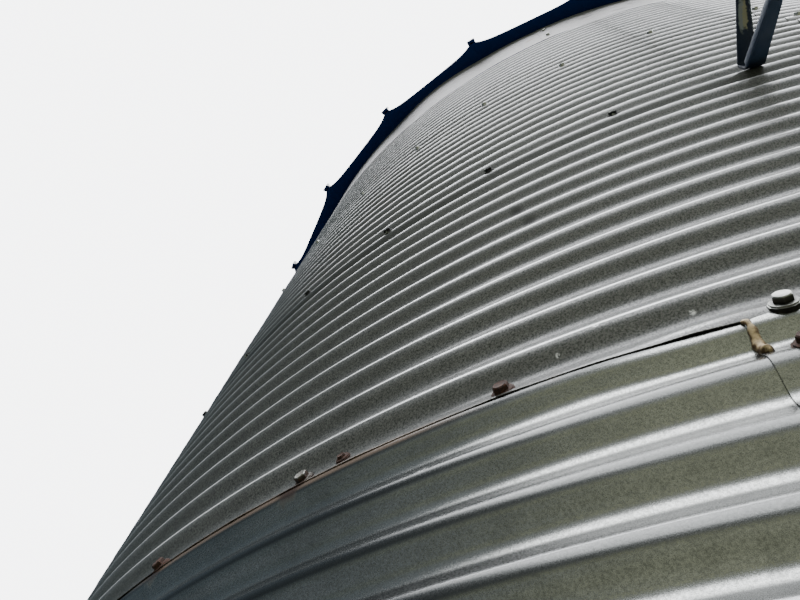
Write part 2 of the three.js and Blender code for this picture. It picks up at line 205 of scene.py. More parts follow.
# White scuffs and dark smudges on the wall: azimuth, height in pitches, half width in bolt columns, half
# height in pitches, and tone
WALL_MARKS = (
    (-5.51, 23.16, 0.028, 0.05, 0.9), (-1.80, 24.72, 0.008, 0.04, 0.8), (-0.68, 25.0, 0.012, 0.04, 0.8),
    (1.2, 24.13, 0.13, 0.10, 0.75), (1.51, 24.68, 0.010, 0.04, 0.9), (-2.37, 31.5, 0.045, 0.35, 0.02),
    (-1.90, 30.45, 0.045, 0.35, 0.02),
)
# Looks of the two kinds of wall sheet. roughs holds the roughness of the lightest and the darkest grain;
# of the two strengths after specular, the first is that of the crest line, a painted highlight, and the
# second that of the painted shade on the shoulders beside it; line_rise says how much higher both lie, in
# pitches.
MATT_SHEET = {
    "roughs": (0.28, 0.45), "metal": 0.12, "coat": 0.33, "specular": 0.22,
    "highlight_strength": 0.95, "shoulder_shade": 0.0, "line_rise": 0.0, "bump": 0.12,
}
BRIGHT_SHEET = {
    "roughs": (0.19, 0.34), "metal": 0.93, "coat": 0.25, "specular": 0.5,
    "highlight_strength": 0.25, "shoulder_shade": 0.86, "line_rise": 0.12, "bump": 0.2,
}
# Looks of the plain sheets: lightest and darkest grain, and the roughness of the darkest and the lightest
# The last key of these says whether faces that look down get a painted shade of dark navy
ROOF_SHEET = {"tones": (0.28, 0.18), "roughs": (0.4, 0.58), "dirt_scale": 3.0, "soffit_shade": True}
FITTINGS = {"tones": (0.26, 0.16), "roughs": (0.48, 0.66), "dirt_scale": 14.0, "soffit_shade": False}
# Depth of the sheets' grain, metres
GRAIN_DEPTH = 0.0006
# Darker ovals over the band's dents, and a stain on the band: bolt columns from the first one, and
# corrugations above the ground
BAND_DENT_OVALS = ((0.842, 63.4), (1.334, 62.0), (-4.1, 62.6), (9.3, 63.0), (22.1, 62.2))
BAND_STAIN = (-0.114, 63.15)
# Their half sizes, in the same terms
DENT_OVAL_SIZE, STAIN_SIZE = (0.12, 0.42), (0.07, 0.3)
# The brown tide line on the band: azimuths in degrees, and corrugations above the ground
TIDE_LINE = ((5.68, 6.78, 9.96, 14.28), (63.2, 61.5, 62.2, 60.7))
# Bolt columns over which it rises and falls
TIDE_COLUMNS = (0.35, 0.5, 1.7, 1.9)
# A strap's width at the wall and at the rail, and its folded lip's place there, as shares of the full ones
STRAP_TAPER, LIP_TAPER = (1.16, 0.72), (1.1, 0.75)
# Sheet of the folded lip, how far it rises over the strap's middle, and how far beyond its edge, metres
LIP_SKIN, LIP_RISE, LIP_OUT = 0.003, 0.011, 0.001
# Bends of a strap, the rounding of its edges and that of its lip, metres
STRAP_BEND, STRAP_ROUNDING, LIP_ROUNDING = 0.009, 0.0014, 0.0007
# Gap between a strap and the wall's crests, metres
STRAP_SEAT = 0.0012
# The worn patch of a strap: middle and half sizes, across it and along it from its upper tab, metres
STRAP_PATCH = (-0.001, 0.077, 0.0075, 0.030)
# Place across a strap that the points of its folded lip's edge are given, beyond the strap's own edge, where
# the painted highlight of the fold lies
FOLD_EDGE = -0.02
# Where the raking leg of a strap begins, along it from its upper tab, metres
STRAP_TURN = 0.215

# Azimuth at which the mirrored skyline stands highest, and the sines of its lowest and highest elevations
SKYLINE_AZIMUTH = math.radians(-85)
SKYLINE_LOW, SKYLINE_HIGH = math.sin(math.radians(30)), math.sin(math.radians(63))
# The floor disc: radii of its rings in metres, its sides, and how far it lies under the silo
FLOOR_RINGS, FLOOR_SIDES, FLOOR_DROP = (0.01, 3.0, 8.0, 40.0), 96, 0.002
# The part of the zenith's light that reaches the floor
FLOOR_LIGHT = 0.67


def length(name, text, default):
    """A length that a user may change."""
    return FloatProperty(name=name, description=text, default=default, unit="LENGTH", precision=4)


def angle(name, text, default):
    """An angle that a user may change, given here in degrees."""
    return FloatProperty(
        name=name, description=text, default=math.radians(default), subtype="ANGLE"
    )


def colour(name, text, default):
    """A colour that a user may change."""
    return FloatVectorProperty(
        name=name, description=text, default=default, subtype="COLOR", size=3, min=0, max=1
    )


class WallSizes(bpy.types.PropertyGroup):
    """Sizes of the wall, the eave band and the foot."""

    crest_radius: length("Crest radius", "Silo's axis to the corrugation crests", 2.35)
    pitch: length("Pitch", "Height of one corrugation", 0.067733)
    wave_depth: length("Wave depth", "Crest to valley", 0.0127)
    thickness: length("Sheet thickness", "Thickness of the wall sheets", 0.001)
    ring_pitches: IntProperty(
        name="Corrugations a ring", description="Corrugations in one sheet", default=RING_PITCHES
    )
    rings: IntProperty(name="Rings", description="Corrugated rings under the band", default=5)
    band_pitches: IntProperty(
        name="Band height", description="Height of the plain band, in corrugations", default=7
    )
    bolts_around: IntProperty(
        name="Bolts around", description="Bolt columns around the wall", default=BOLTS_AROUND
    )
    bolt_azimuth: angle("Bolt azimuth", "Azimuth of one bolt column", BOLT_AZIMUTH)
    lap_offset: angle("Lap offset", "Lap edge from its bolt column", -0.6)
    lap_width: angle("Lap width", "How far one sheet runs on behind the next", 1.2)
    foot_lift: length("Foot lift", "How far a sheet's foot stands off the sheet under it", 0.0012)
    base_leg: length("Base angle leg", "Legs of the angle around the foot", 0.05)
    base_thickness: length("Base angle thickness", "Thickness of that angle", 0.006)


class RoofSizes(bpy.types.PropertyGroup):
    """Sizes of the roof, its ribs and its peak."""

    panels: IntProperty(name="Panels", description="Roof panels around", default=27)
    rib_azimuth: angle("Rib azimuth", "Azimuth of one rib", 9.1)
    slope: angle("Slope", "Roof's slope along its ribs", 30)
    panel_drop: length("Panel drop", "Height of the panel's face over the wall's top", 0.004919)
    panel_thickness: length("Panel thickness", "Thickness of the roof sheet", 0.002)
    foot: FloatProperty(
        name="Panel foot", description="Panel edge between ribs, in crest radii", default=1.0289
    )
    rib_foot: FloatProperty(
        name="Rib foot", description="Rib's end, in crest radii", default=1.0515
    )
    rib_width: length("Rib width", "Width of a rib over its foot", 0.04)
    rib_height: length("Rib height", "Height of a rib over the panels", 0.042)
    flare: length("Flare", "How fast the panel edge's sweep dies away beside a rib", 0.045)
    flare_reach: length("Flare reach", "How far that sweep stands out beside a rib", 0.018)
    collar_radius: length("Collar radius", "Outside of the peak collar", 0.3)
    collar_height: length("Collar height", "Height of the collar over the panels", 0.12)
    skirt_radius: length("Skirt radius", "Reach of the collar's skirt", 0.38)
    rib_top: length("Rib top", "Radius at which the ribs begin", 0.392)
    lid_radius: length("Lid radius", "Radius of the peak lid", 0.336)
    lid_rise: length("Lid rise", "Height of the lid's cone", 0.07)
    lid_lip: length("Lid lip", "Depth of the lid's lip", 0.04)


class LadderSizes(bpy.types.PropertyGroup):
    """Sizes of the ladder and its straps."""

    azimuth: angle("Ladder azimuth", "Azimuth of the ladder's middle", 12.95)
    rail_radius: length("Rail radius", "Silo's axis to the rails", 2.524)
    rail_spacing: length("Rail spacing", "Distance between the rails' middles", 0.294)
    rail_depth: length("Rail depth", "Rail size outwards", 0.04)
    rail_thickness: length("Rail thickness", "Rail size across", 0.01)
    foot: FloatProperty(name="Foot", description="Rails' lower end, in pitches", default=9.485)
    head: FloatProperty(name="Head", description="Rails' upper end, in pitches", default=80)
    rung_spacing: length("Rung spacing", "Height from rung to rung", 0.305)
    rung_diameter: length("Rung diameter", "Diameter of a rung", 0.022)
    lower_bracket: FloatProperty(name="Lower straps", description="In pitches", default=14.45)
    upper_bracket: FloatProperty(name="Upper straps", description="In pitches", default=36.45)
    strap_width: length("Strap width", "Width of the V-shaped straps", 0.03)
    strap_thickness: length("Strap thickness", "Thickness of the straps", 0.006)
    strap_foot: length("Strap foot", "Height on the wall between the legs", 0.034)
    strap_drop: length("Strap drop", "How far the raking leg comes down", 0.165)
    strap_tab: length("Strap tab", "Height of the tabs on the rail", 0.026)


class Finishes(bpy.types.PropertyGroup):
    """Colours of the silo and the stage."""

    bright_light: colour("Bright sheets, light", "Lightest grain of the lower rings", (0.44, 0.445, 0.43))
    bright_dark: colour("Bright sheets, dark", "Darkest grain of the lower rings", (0.21, 0.215, 0.205))
    matt_light: colour("Matt sheets, light", "Lightest grain of the upper rings", (0.24, 0.24, 0.235))
    matt_dark: colour("Matt sheets, dark", "Darkest grain of the upper rings", (0.018, 0.020, 0.020))
    # Painted highlight: the bright line along each crest, where the sky would be mirrored
    crest: colour("Crest", "Rubbed line along each crest", (0.95, 0.95, 0.96))
    # Painted shade: the dark tone laid on the flank that looks down and in a strip under a seam
    grime_and_shade: colour("Grime", "Film under the crests", (0.030, 0.032, 0.028))
    band: colour("Band", "Plain eave band", (0.38, 0.365, 0.38))
    # Painted shade: the dark navy given to roof faces that look down
    soffit_shade: colour("Soffit", "Underside of the roof's edge", (0.010, 0.030, 0.14))
    rust: colour("Rust", "Rust on bolts and seams", (0.028, 0.012, 0.008))
    tan_rust: colour("Tan stain", "Old stain along the seams", (0.22, 0.13, 0.075))
    sealant: colour("Sealant", "Bead over the lap", (0.62, 0.47, 0.27))
    strap: colour("Strap", "Dark steel of the straps", (0.010, 0.018, 0.040))
    floor: colour("Floor", "Stage floor", (0.60, 0.60, 0.59))
    field: colour("Field", "What the wall mirrors near the ground", (0.42, 0.44, 0.26))
    slate: colour("Slate", "Mirrored ground and skyline to the left", (0.09, 0.125, 0.155))
    mass: colour("Skyline", "What the wall mirrors under the skyline", (0.38, 0.42, 0.42))
    zenith: FloatProperty(name="Zenith", description="Brightness of the sky overhead", default=8.0)
    backdrop: FloatProperty(name="Backdrop", description="Brightness of the sky in view", default=6.0)


class CameraSizes(bpy.types.PropertyGroup):
    """The photograph's camera."""

    lens: FloatProperty(name="Lens", description="Focal length, mm", default=27.234)
    distance: length("Distance", "Silo's axis to the camera", 2.6984)
    height: length("Height", "Camera over the ground", 1.1275)
    elevation: angle("Elevation", "How far the camera looks up", 60.994)
    heading: angle("Heading", "How far it is turned left of the axis", 40.262)
    roll: angle("Roll", "How far it is rolled", 14.569)


# Shapes


def on_silo(radius, azimuth, height):
    """Points at radii, azimuths and heights.

    x is the radius times the azimuth's sine, and y is minus the radius times its cosine.
    """
    turn = np.radians(azimuth)
    return np.stack(
        np.broadcast_arrays(radius * np.sin(turn), -radius * np.cos(turn), height), -1
    )


def grid_quads(rows, columns, first=0, flip=False, wrap=False):
    """Quads of a grid numbered row by row; wrap joins its last column to its first."""
    index = first + np.arange(rows * columns).reshape(rows, columns)
    if wrap:
        index = np.concatenate([index, index[:, :1]], 1)
    quads = np.stack(
        [index[:-1, :-1], index[:-1, 1:], index[1:, 1:], index[1:, :-1]], -1
    ).reshape(-1, 4)
    return quads[:, ::-1] if flip else quads


def sheet_shell(front, back):
    """Points and quads of a sheet: its front grid, its back grid, and a rim round both."""
    rows, columns = front.shape[:2]
    count = rows * columns
    index = np.arange(count).reshape(rows, columns)
    rim = np.concatenate(
        [index[0, :-1], index[:-1, -1], index[-1, :0:-1], index[:0:-1, 0]]
    )
    following = np.roll(rim, -1)
    quads = np.concatenate(
        [
            grid_quads(rows, columns),
            grid_quads(rows, columns, count, flip=True),
            np.stack([following, rim, rim + count, following + count], -1),
        ]
    )
    return np.concatenate([front.reshape(-1, 3), back.reshape(-1, 3)]), quads


def capped_sweep(sections):
    """Points and faces of rows of like closed sections, with a cap of one face at each end."""
    rows, columns = sections.shape[:2]
    first = np.arange(columns)[None, ::-1]
    last = (rows - 1) * columns + np.arange(columns)[None, :]
    return sections.reshape(-1, 3), [grid_quads(rows, columns, wrap=True), first, last]


def joined(parts):
    """One list of points and one of faces from several, each part's faces renumbered."""
    points, faces, start = [], [], 0
    for part_points, part_faces in parts:
        points.append(part_points)
        sets = part_faces if isinstance(part_faces, list) else [part_faces]
        faces += [face + start for face in sets]
        start += len(part_points)
    return np.concatenate(points), faces


def revolve(profile, segments):
    """A closed ring: a closed profile of (radius, height) turned about the axis."""
    turn = np.arange(segments) * 360 / segments
    points = on_silo(profile[:, None, 0], turn[None, :], profile[:, None, 1])
    rows = np.concatenate([points, points[:1]])
    quads = grid_quads(len(rows), segments, wrap=True) % (len(profile) * segments)
    return points.reshape(-1, 3), quads


def stamped(template, origins, outwards, upwards):
    """A template's points at many places: across, up and outward steps from each origin."""
    points, quads, _ = template
    across = np.cross(upwards, outwards)
    placed = (
        origins[:, None]
        + points[None, :, :1] * across[:, None]
        + points[None, :, 1:2] * upwards[:, None]
        + points[None, :, 2:] * outwards[:, None]
    )
    shift = np.arange(len(origins))[:, None, None] * len(points)
    return placed.reshape(-1, 3), [(face[None] + shift).reshape(-1, face.shape[1]) for face in quads]


def put_piece(name, points, faces, material, nodes=(), sharp=35, uv=None, values=None):
    """Makes the mesh object, smooth but for edges over the sharp angle, and tells the frame about it."""
    faces = faces if isinstance(faces, list) else [faces]
    mesh = bpy.data.meshes.new(name)
    corners = np.concatenate([face.ravel() for face in faces])
    sizes = np.concatenate([np.full(len(face), face.shape[1]) for face in faces])
    mesh.vertices.add(len(points))
    mesh.vertices.foreach_set("co", np.ascontiguousarray(points, np.float32).ravel())
    mesh.loops.add(len(corners))
    mesh.loops.foreach_set("vertex_index", corners.astype(np.int32))
    mesh.polygons.add(len(sizes))
    mesh.polygons.foreach_set(
        "loop_start", np.concatenate([[0], np.cumsum(sizes)[:-1]]).astype(np.int32)
    )
    if uv is not None:
        layer = mesh.uv_layers.new(name="surface")
        layer.data.foreach_set("uv", uv[corners].astype(np.float32).ravel())
    for key, value in (values or {}).items():
        attribute = mesh.attributes.new(key, "FLOAT", "POINT")
        attribute.data.foreach_set("value", value.astype(np.float32))
    mesh.update(calc_edges=True)
    if mesh.validate():
        raise RuntimeError(f"{name} has faulty faces")
    mesh.polygons.foreach_set("use_smooth", np.ones(len(sizes), bool))
    mesh.set_sharp_from_angle(angle=math.radians(sharp))
    mesh.materials.append(material)
    piece = bpy.data.objects.new(name, mesh)
    bpy.context.scene.collection.objects.link(piece)
    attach(piece, "root")
    if nodes:
        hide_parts(*nodes)
    return piece


def smooth_step(value):
    """0 below 0, 1 above 1, and the usual cubic between."""
    t = np.clip(value, 0, 1)
    return t * t * (3 - 2 * t)


def ripple(azimuth, seed, periods):
    """The mean of sines round the silo, one for each period in degrees, their phases drawn from a seed."""
    rng = np.random.default_rng(seed)
    total = sum(
        np.sin(np.radians(azimuth * 360 / period) + rng.uniform(0, 2 * np.pi))
        for period in periods
    )
    return total / len(periods)


# The wall


def wave(wall, pitches):
    """How far the corrugation lies inside its crests: half its depth times one minus the height's cosine."""
    return wall.wave_depth / 2 * (1 - np.cos(2 * np.pi * pitches))


def signed(turn):
    """The same azimuths, from -180 to 180 degrees."""
    return np.where(turn > 180, turn - 360, turn)


def surface_uv(wall, azimuth, pitches):
    """Surface coordinates: bolt columns from the first one, and corrugations above the ground."""
    columns = (azimuth - math.degrees(wall.bolt_azimuth)) * wall.bolts_around / 360
    return np.stack([columns, pitches], -1).reshape(-1, 2)


def seam_gap(azimuth, ring):
    """How open the loose seam is: uneven all round, and widest where the sheets were pulled apart."""
    uneven = ripple(azimuth, 40 + ring, GAP_PERIODS)
    opened = smooth_step((azimuth - OPEN_START) / OPEN_RISE)
    pulled = opened * (1 - smooth_step((azimuth - OPEN_END) / OPEN_FALL))
    return GAP_LEAST + GAP_UNEVEN * np.clip(uneven + 0.25, 0, 1) + GAP_OPEN * pulled


def foot_stand(wall, ring, azimuth, rise):
    """How far a ring's foot stands off the ring under it: a lift that fades out up from the foot.

    The loose ring adds its open seam, and the step of the lap under it.
    """
    if not ring:
        return np.zeros(np.broadcast(azimuth, rise).shape)
    foot = wall.foot_lift
    if ring == LOOSE_RING:
        lap = azimuth - lap_azimuth(wall, ring - 1, 0)
        step = LAP_STEP * wall.thickness * smooth_step(1 + lap / LAP_STEP_RUN)
        foot = foot + seam_gap(azimuth, ring) + step * (1 - smooth_step(lap / SIDE_FADE))
    return foot * (1 - smooth_step(rise / FOOT_FADE))


def foot_rise(ring):
    """Height of a ring's lower edge over its seam, in pitches."""
    if not ring:
        return 0.0
    return SEAM_RISE if ring <= LOOSE_RING else HIDDEN_SEAM_RISE


def head_droop(ring, azimuth, rise):
    """How far the wave under the loose seam has sunk, in pitches: its last crest, and not to the left."""
    if ring != LOOSE_RING - 1:
        return 0.0
    over = rise - RING_PITCHES
    sunk = HEAD_DROOP * smooth_step((over - DROOP_START) / DROOP_RISE)
    sunk = sunk * smooth_step((DROOP_END - over) / DROOP_FALL)
    return sunk * smooth_step((azimuth - DROOP_AZIMUTH) / DROOP_SPREAD)


def sheet_columns(start, end, near):
    """Azimuths of a sheet's columns: close at its lapped edge and, on near rings, within the photograph."""
    edge = start + np.array(EDGE_COLUMNS)
    stops = [edge[:-1], np.linspace(edge[-1], end, PLAIN_COLUMNS)]
    if near:
        fine = np.arange(*FINE_AZIMUTHS)
        for turn in (0, 360):
            inside = (fine + turn > start + FINE_MARGINS[0]) & (fine + turn < end - FINE_MARGINS[1])
            stops.append((fine + turn)[inside])
    return np.unique(np.round(np.concatenate(stops), 4))


def wall_sheet(wall, ring, start, near):
    """One corrugated sheet, lifted over its neighbours at its left edge and its foot.

    Its front's radius is the crest radius less the wave, plus a lift that fades from the left edge,
    plus a lift that fades up from the foot. Its back lies the sheet's thickness inside.
    """
    azimuth = sheet_columns(start, start + SHEET_SPAN + math.degrees(wall.lap_width), near)
    first = foot_rise(ring)
    last = wall.ring_pitches + (HEAD_TAIL if ring < wall.rings - 1 else LAST_TAIL)
    rows = round((NEAR_ROWS if near else ROWS) * (last - first)) + 1
    turn, rise = np.meshgrid(azimuth, np.linspace(first, last, rows))
    around = signed(turn)
    if ring == LOOSE_RING:
        sag = first - np.interp(around, *LOOSE_FOOT)
        rise = rise - sag * (1 - smooth_step((rise - first) / SAG_FADE))
    stand = LOW_LAP_STAND if ring <= LOOSE_RING else LAP_STAND
    side = stand * wall.thickness * (1 - smooth_step((turn - start) / SIDE_FADE))
    tuck = TUCK * smooth_step((rise - wall.ring_pitches - HIDDEN_SEAM_RISE - TUCK_START) / TUCK_RUN)
    lift = foot_stand(wall, ring, around, rise) - tuck
    bow = BOW * ripple(around + 3 * rise, 7 + ring, BOW_PERIODS)
    depth = wave(wall, rise + head_droop(ring, around, rise))
    radius = wall.crest_radius - depth + side + lift + bow
    pitches = ring * wall.ring_pitches + rise
    front = on_silo(radius, turn, pitches * wall.pitch)
    back = on_silo(radius - wall.thickness, turn, pitches * wall.pitch)
    uv = surface_uv(wall, around, pitches)
    points, quads = sheet_shell(front, back)
    return points, quads, np.concatenate([uv, uv])


def lap_azimuth(wall, ring, sheet):
    """Azimuth of a sheet's left edge; the ring after the last is the band."""
    lap = RING_LAPS[ring] if ring < wall.rings else BAND_LAP
    first = math.degrees(wall.bolt_azimuth + wall.lap_offset) + LAP_DRIFT[ring]
    return first + lap * 360 / wall.bolts_around + sheet * SHEET_SPAN


def build_wall(wall, materials):
    """The fifteen wall pieces, each of two lapped sheets."""
    for ring in range(wall.rings):
        near = ring in (LOOSE_RING - 1, LOOSE_RING)
        zinc = materials["bright_zinc"] if ring < LOOSE_RING else materials["matt_zinc"]
        for arc in range(ARCS_PER_RING):
            parts, coordinates = [], []
            for sheet in range(SHEETS_PER_ARC):
                start = lap_azimuth(wall, ring, arc * SHEETS_PER_ARC + sheet)
                points, quads, uv = wall_sheet(wall, ring, start, near)
                parts.append((points, quads))
                coordinates.append(uv)
            points, faces = joined(parts)
            name = f"wall_ring_{ring + 1}_sheet_{arc + 1}"
            put_piece(
                f"corrugated_{name}", points, faces, zinc, [name],
                sharp=50, uv=np.concatenate(coordinates),
            )


def roof_face(wall, roof, radius, off_middle):
    """Height of the panels' upper face: the apex less the slope times the distance along their middle."""
    half = math.pi / roof.panels
    slope = math.tan(roof.slope)
    eave = (wall.rings * wall.ring_pitches + wall.band_pitches) * wall.pitch
    apex = eave + roof.panel_drop + wall.crest_radius * slope / math.cos(half)
    return apex - radius * np.cos(np.radians(off_middle)) / math.cos(half) * slope


def off_panel_middle(roof, azimuth):
    """Degrees from an azimuth to the middle of the roof panel over it."""
    step = 360 / roof.panels
    return (azimuth - math.degrees(roof.rib_azimuth)) % step - step / 2


def band_sheet(wall, roof, start):
    """One sheet of the band: a cylinder whose lower edge wanders and whose top follows the roof's underside.

    Its radius is the crest radius plus a bulge that grows toward its top, the lap's lift and a ripple,
    less a bell-shaped dent at each place of BAND_DENTS. Its last result is how far it is off the tide line.
    """
    foot = wall.rings * wall.ring_pitches * wall.pitch
    end = start + SHEET_SPAN + math.degrees(wall.lap_width)
    edge = start + np.array(BAND_EDGE_COLUMNS)
    azimuth = np.concatenate([edge[:-1], np.linspace(edge[-1], end, BAND_COLUMNS)])
    turn, up = np.meshgrid(azimuth, np.linspace(0, 1, BAND_ROWS))
    around = signed(turn)
    low = foot + BAND_FOOT + BAND_WANDER * ripple(around, 91, BAND_FOOT_PERIODS)
    under = roof_face(wall, roof, wall.crest_radius + EAVE_REACH, off_panel_middle(roof, turn))
    high = under - EAVE_DEPTH * roof.panel_thickness
    height = low + (high - low) * up
    side = LAP_STAND * wall.thickness * (1 - smooth_step((turn - start) / BAND_SIDE_FADE))
    bulge = BAND_BULGE + SWELLING * np.exp(-(((around - SWELLING_AZIMUTH) / SWELLING_WIDTH) ** 2))
    radius = wall.crest_radius + BAND_STAND + bulge * up**1.5 + side
    radius += BAND_UNEVEN * ripple(around + 5 * up, 92, BAND_PERIODS)
    for centre, level in BAND_DENTS:
        aside = (around - centre) / DENT_HALF_WIDTH
        above = (height - foot - level * wall.pitch) / DENT_HALF_HEIGHT
        radius -= DENT_DEPTH * np.exp(-(aside**2) - above**2)
    front, back = on_silo(radius, turn, height), on_silo(radius - wall.thickness, turn, height)
    points, quads = sheet_shell(front, back)
    uv = surface_uv(wall, around, height / wall.pitch)
    off = (height - np.interp(around, *TIDE_LINE) * wall.pitch).ravel()
    return points, quads, np.concatenate([uv, uv]), np.concatenate([off, off])


def build_band(wall, roof, materials):
    """The three pieces of the plain band, each of two lapped sheets."""
    for arc in range(ARCS_PER_RING):
        parts, coordinates, offsets = [], [], []
        for sheet in range(SHEETS_PER_ARC):
            start = lap_azimuth(wall, wall.rings, arc * SHEETS_PER_ARC + sheet)
            points, quads, uv, off = band_sheet(wall, roof, start)
            parts.append((points, quads))
            coordinates.append(uv)
            offsets.append(off)
        points, faces = joined(parts)
        name = f"eave_band_sheet_{arc + 1}"
        put_piece(
            f"plain_{name}", points, faces, materials["band_zinc"], [name],
            sharp=50, uv=np.concatenate(coordinates), values={"off_line": np.concatenate(offsets)},
        )


def rectangle(left, low, right, high):
    """A rectangle's corners."""
    return [(left, low), (right, low), (right, high), (left, high)]


def rounded_outline(corners, radius, steps=4):
    """A closed outline with each corner replaced by a quadratic arc that starts a radius from the corner."""
    corners = np.asarray(corners, float)
    before, after = np.roll(corners, 1, 0), np.roll(corners, -1, 0)
    size = np.broadcast_to(np.asarray(radius, float), len(corners))[:, None]

    def toward(other):
        step = other - corners
        reach = np.linalg.norm(step, axis=1, keepdims=True)
        return corners + step / reach * np.minimum(size, 0.49 * reach)

    start, end = toward(before)[:, None], toward(after)[:, None]
    t = np.linspace(0, 1, steps)[None, :, None]
    curve = (1 - t) ** 2 * start + 2 * t * (1 - t) * corners[:, None] + t**2 * end
    return curve.reshape(-1, corners.shape[1])


def build_base(wall, materials):
    """The angle around the foot: an L-shaped section carried round each third of the circle."""
    inner = wall.crest_radius + CLEARANCE
    leg, thick = wall.base_leg, wall.base_thickness
    corners = [
        (inner, 0), (inner + leg, 0), (inner + leg, thick),
        (inner + thick, thick), (inner + thick, leg), (inner, leg),
    ]
    outline = rounded_outline(corners, BASE_ROUNDINGS)
    span = 360 / ARCS_PER_RING
    for arc in range(ARCS_PER_RING):
        start = lap_azimuth(wall, 0, arc * SHEETS_PER_ARC)
        turn = np.linspace(start, start + span - BASE_GAP, BASE_SECTIONS)
        sections = on_silo(outline[None, :, 0], turn[:, None], outline[None, :, 1])
        points, faces = capped_sweep(sections)
        put_piece(
            f"foot_angle_{arc + 1}", points, faces, materials["fitting_zinc"],
            [f"base_angle_{arc + 1}"],
        )


# The roof


def panel_grid(wall, roof, centre):
    """One panel: radius runs from the collar to its edge, a chord plus a sweep that dies away from each rib.

    The edge's radius is the chord's plus the flare's reach times the exponential of minus the distance
    to the rib over the flare's width.
    """
    half = 180 / roof.panels
    foot = roof.foot * wall.crest_radius
    side = half - np.degrees(np.array(PANEL_COLUMNS) / foot)
    off = np.concatenate([-side, [0.0], side[::-1]])
    from_rib = np.radians(half - np.abs(off)) * foot
    sweep = roof.flare_reach * np.exp(-np.maximum(from_rib - FLARE_START, 0) / roof.flare)
    edge = foot * (1 + EDGE_BEND * (1 / np.cos(np.radians(off)) - 1)) + sweep
    top = roof.collar_radius + PANEL_TOP_GAP
    share = np.linspace(0, 1, PANEL_ROWS)[:, None]
    radius = edge + (top - edge) * share
    sag = PANEL_SAG * np.cos(np.pi * off / (2 * half))[None, :] * np.sin(np.pi * share) ** 0.5
    height = roof_face(wall, roof, radius, off[None, :]) - sag
    front = on_silo(radius, centre + off[None, :], height)
    back = on_silo(radius, centre + off[None, :], height - roof.panel_thickness)
    return sheet_shell(front, back)


def rib_channel(wall, roof, azimuth):
    """One rib: an upturned channel carried down its line to an upright end, with a wider closure on it."""
    width, high = roof.rib_width / 2 - RIB_FLANGE, roof.rib_height
    out, top = width + RIB_FLANGE, width - RIB_LEAN
    outside = [
        (-out, RIB_FLOOR), (-out, RIB_FOOT_TOP), (-width, RIB_FOOT_TOP), (-top, high),
        (top, high), (width, RIB_FOOT_TOP), (out, RIB_FOOT_TOP), (out, RIB_FLOOR),
    ]
    inside = [
        (width - RIB_SKIN, RIB_FLOOR), (top - RIB_SKIN, high - RIB_SKIN),
        (-top + RIB_SKIN, high - RIB_SKIN), (-width + RIB_SKIN, RIB_FLOOR),
    ]
    outline = rounded_outline(outside + inside, RIB_ROUNDING, 3)
    reach = roof.rib_foot * wall.crest_radius - 0.004
    along = np.array([roof.rib_top, *RIB_SECTIONS, reach])
    half = math.pi / roof.panels
    base = roof_face(wall, roof, along * math.cos(half), 0.0)
    line = on_silo(along, azimuth, base)
    side = on_silo(1.0, azimuth + 90, 0.0)
    lean = np.tile(on_silo(math.sin(roof.slope), azimuth, math.cos(roof.slope)), (len(along), 1))
    lean[-1] = (0.0, 0.0, 1 / math.cos(roof.slope))
    sections = line[:, None] + outline[None, :, :1] * side + outline[None, :, 1:] * lean[:, None]
    head = roof.rib_width / 2
    plate = rounded_outline(rectangle(-head, RIB_SKIN, head, high + CLOSURE_RISE), 0.004, 4)
    ends = []
    for radius in (reach - CLOSURE_BACK, reach + CLOSURE_FRONT):
        at = on_silo(radius, azimuth, roof_face(wall, roof, radius * math.cos(half), 0.0))
        ends.append(at + plate[:, :1] * side + plate[:, 1:] * np.array([0.0, 0.0, 1.0]))
    return joined([capped_sweep(sections[::-1]), capped_sweep(np.array(ends)[::-1])])


def build_roof(wall, roof, materials):
    """Nine roof pieces, each of three panels and three ribs."""
    step = 360 / roof.panels
    for sector in range(roof.panels // PANELS_PER_SECTOR):
        first = math.degrees(roof.rib_azimuth) + sector * PANELS_PER_SECTOR * step
        parts = []
        for panel in range(PANELS_PER_SECTOR):
            azimuth = first + panel * step
            points, quads = panel_grid(wall, roof, azimuth + step / 2)
            parts.append((points, quads))
            parts.append(rib_channel(wall, roof, azimuth))
        points, faces = joined(parts)
        put_piece(
            f"roof_panels_{sector + 1}", points, faces, materials["roof_zinc"],
            [f"roof_sector_{sector + 1}"],
        )


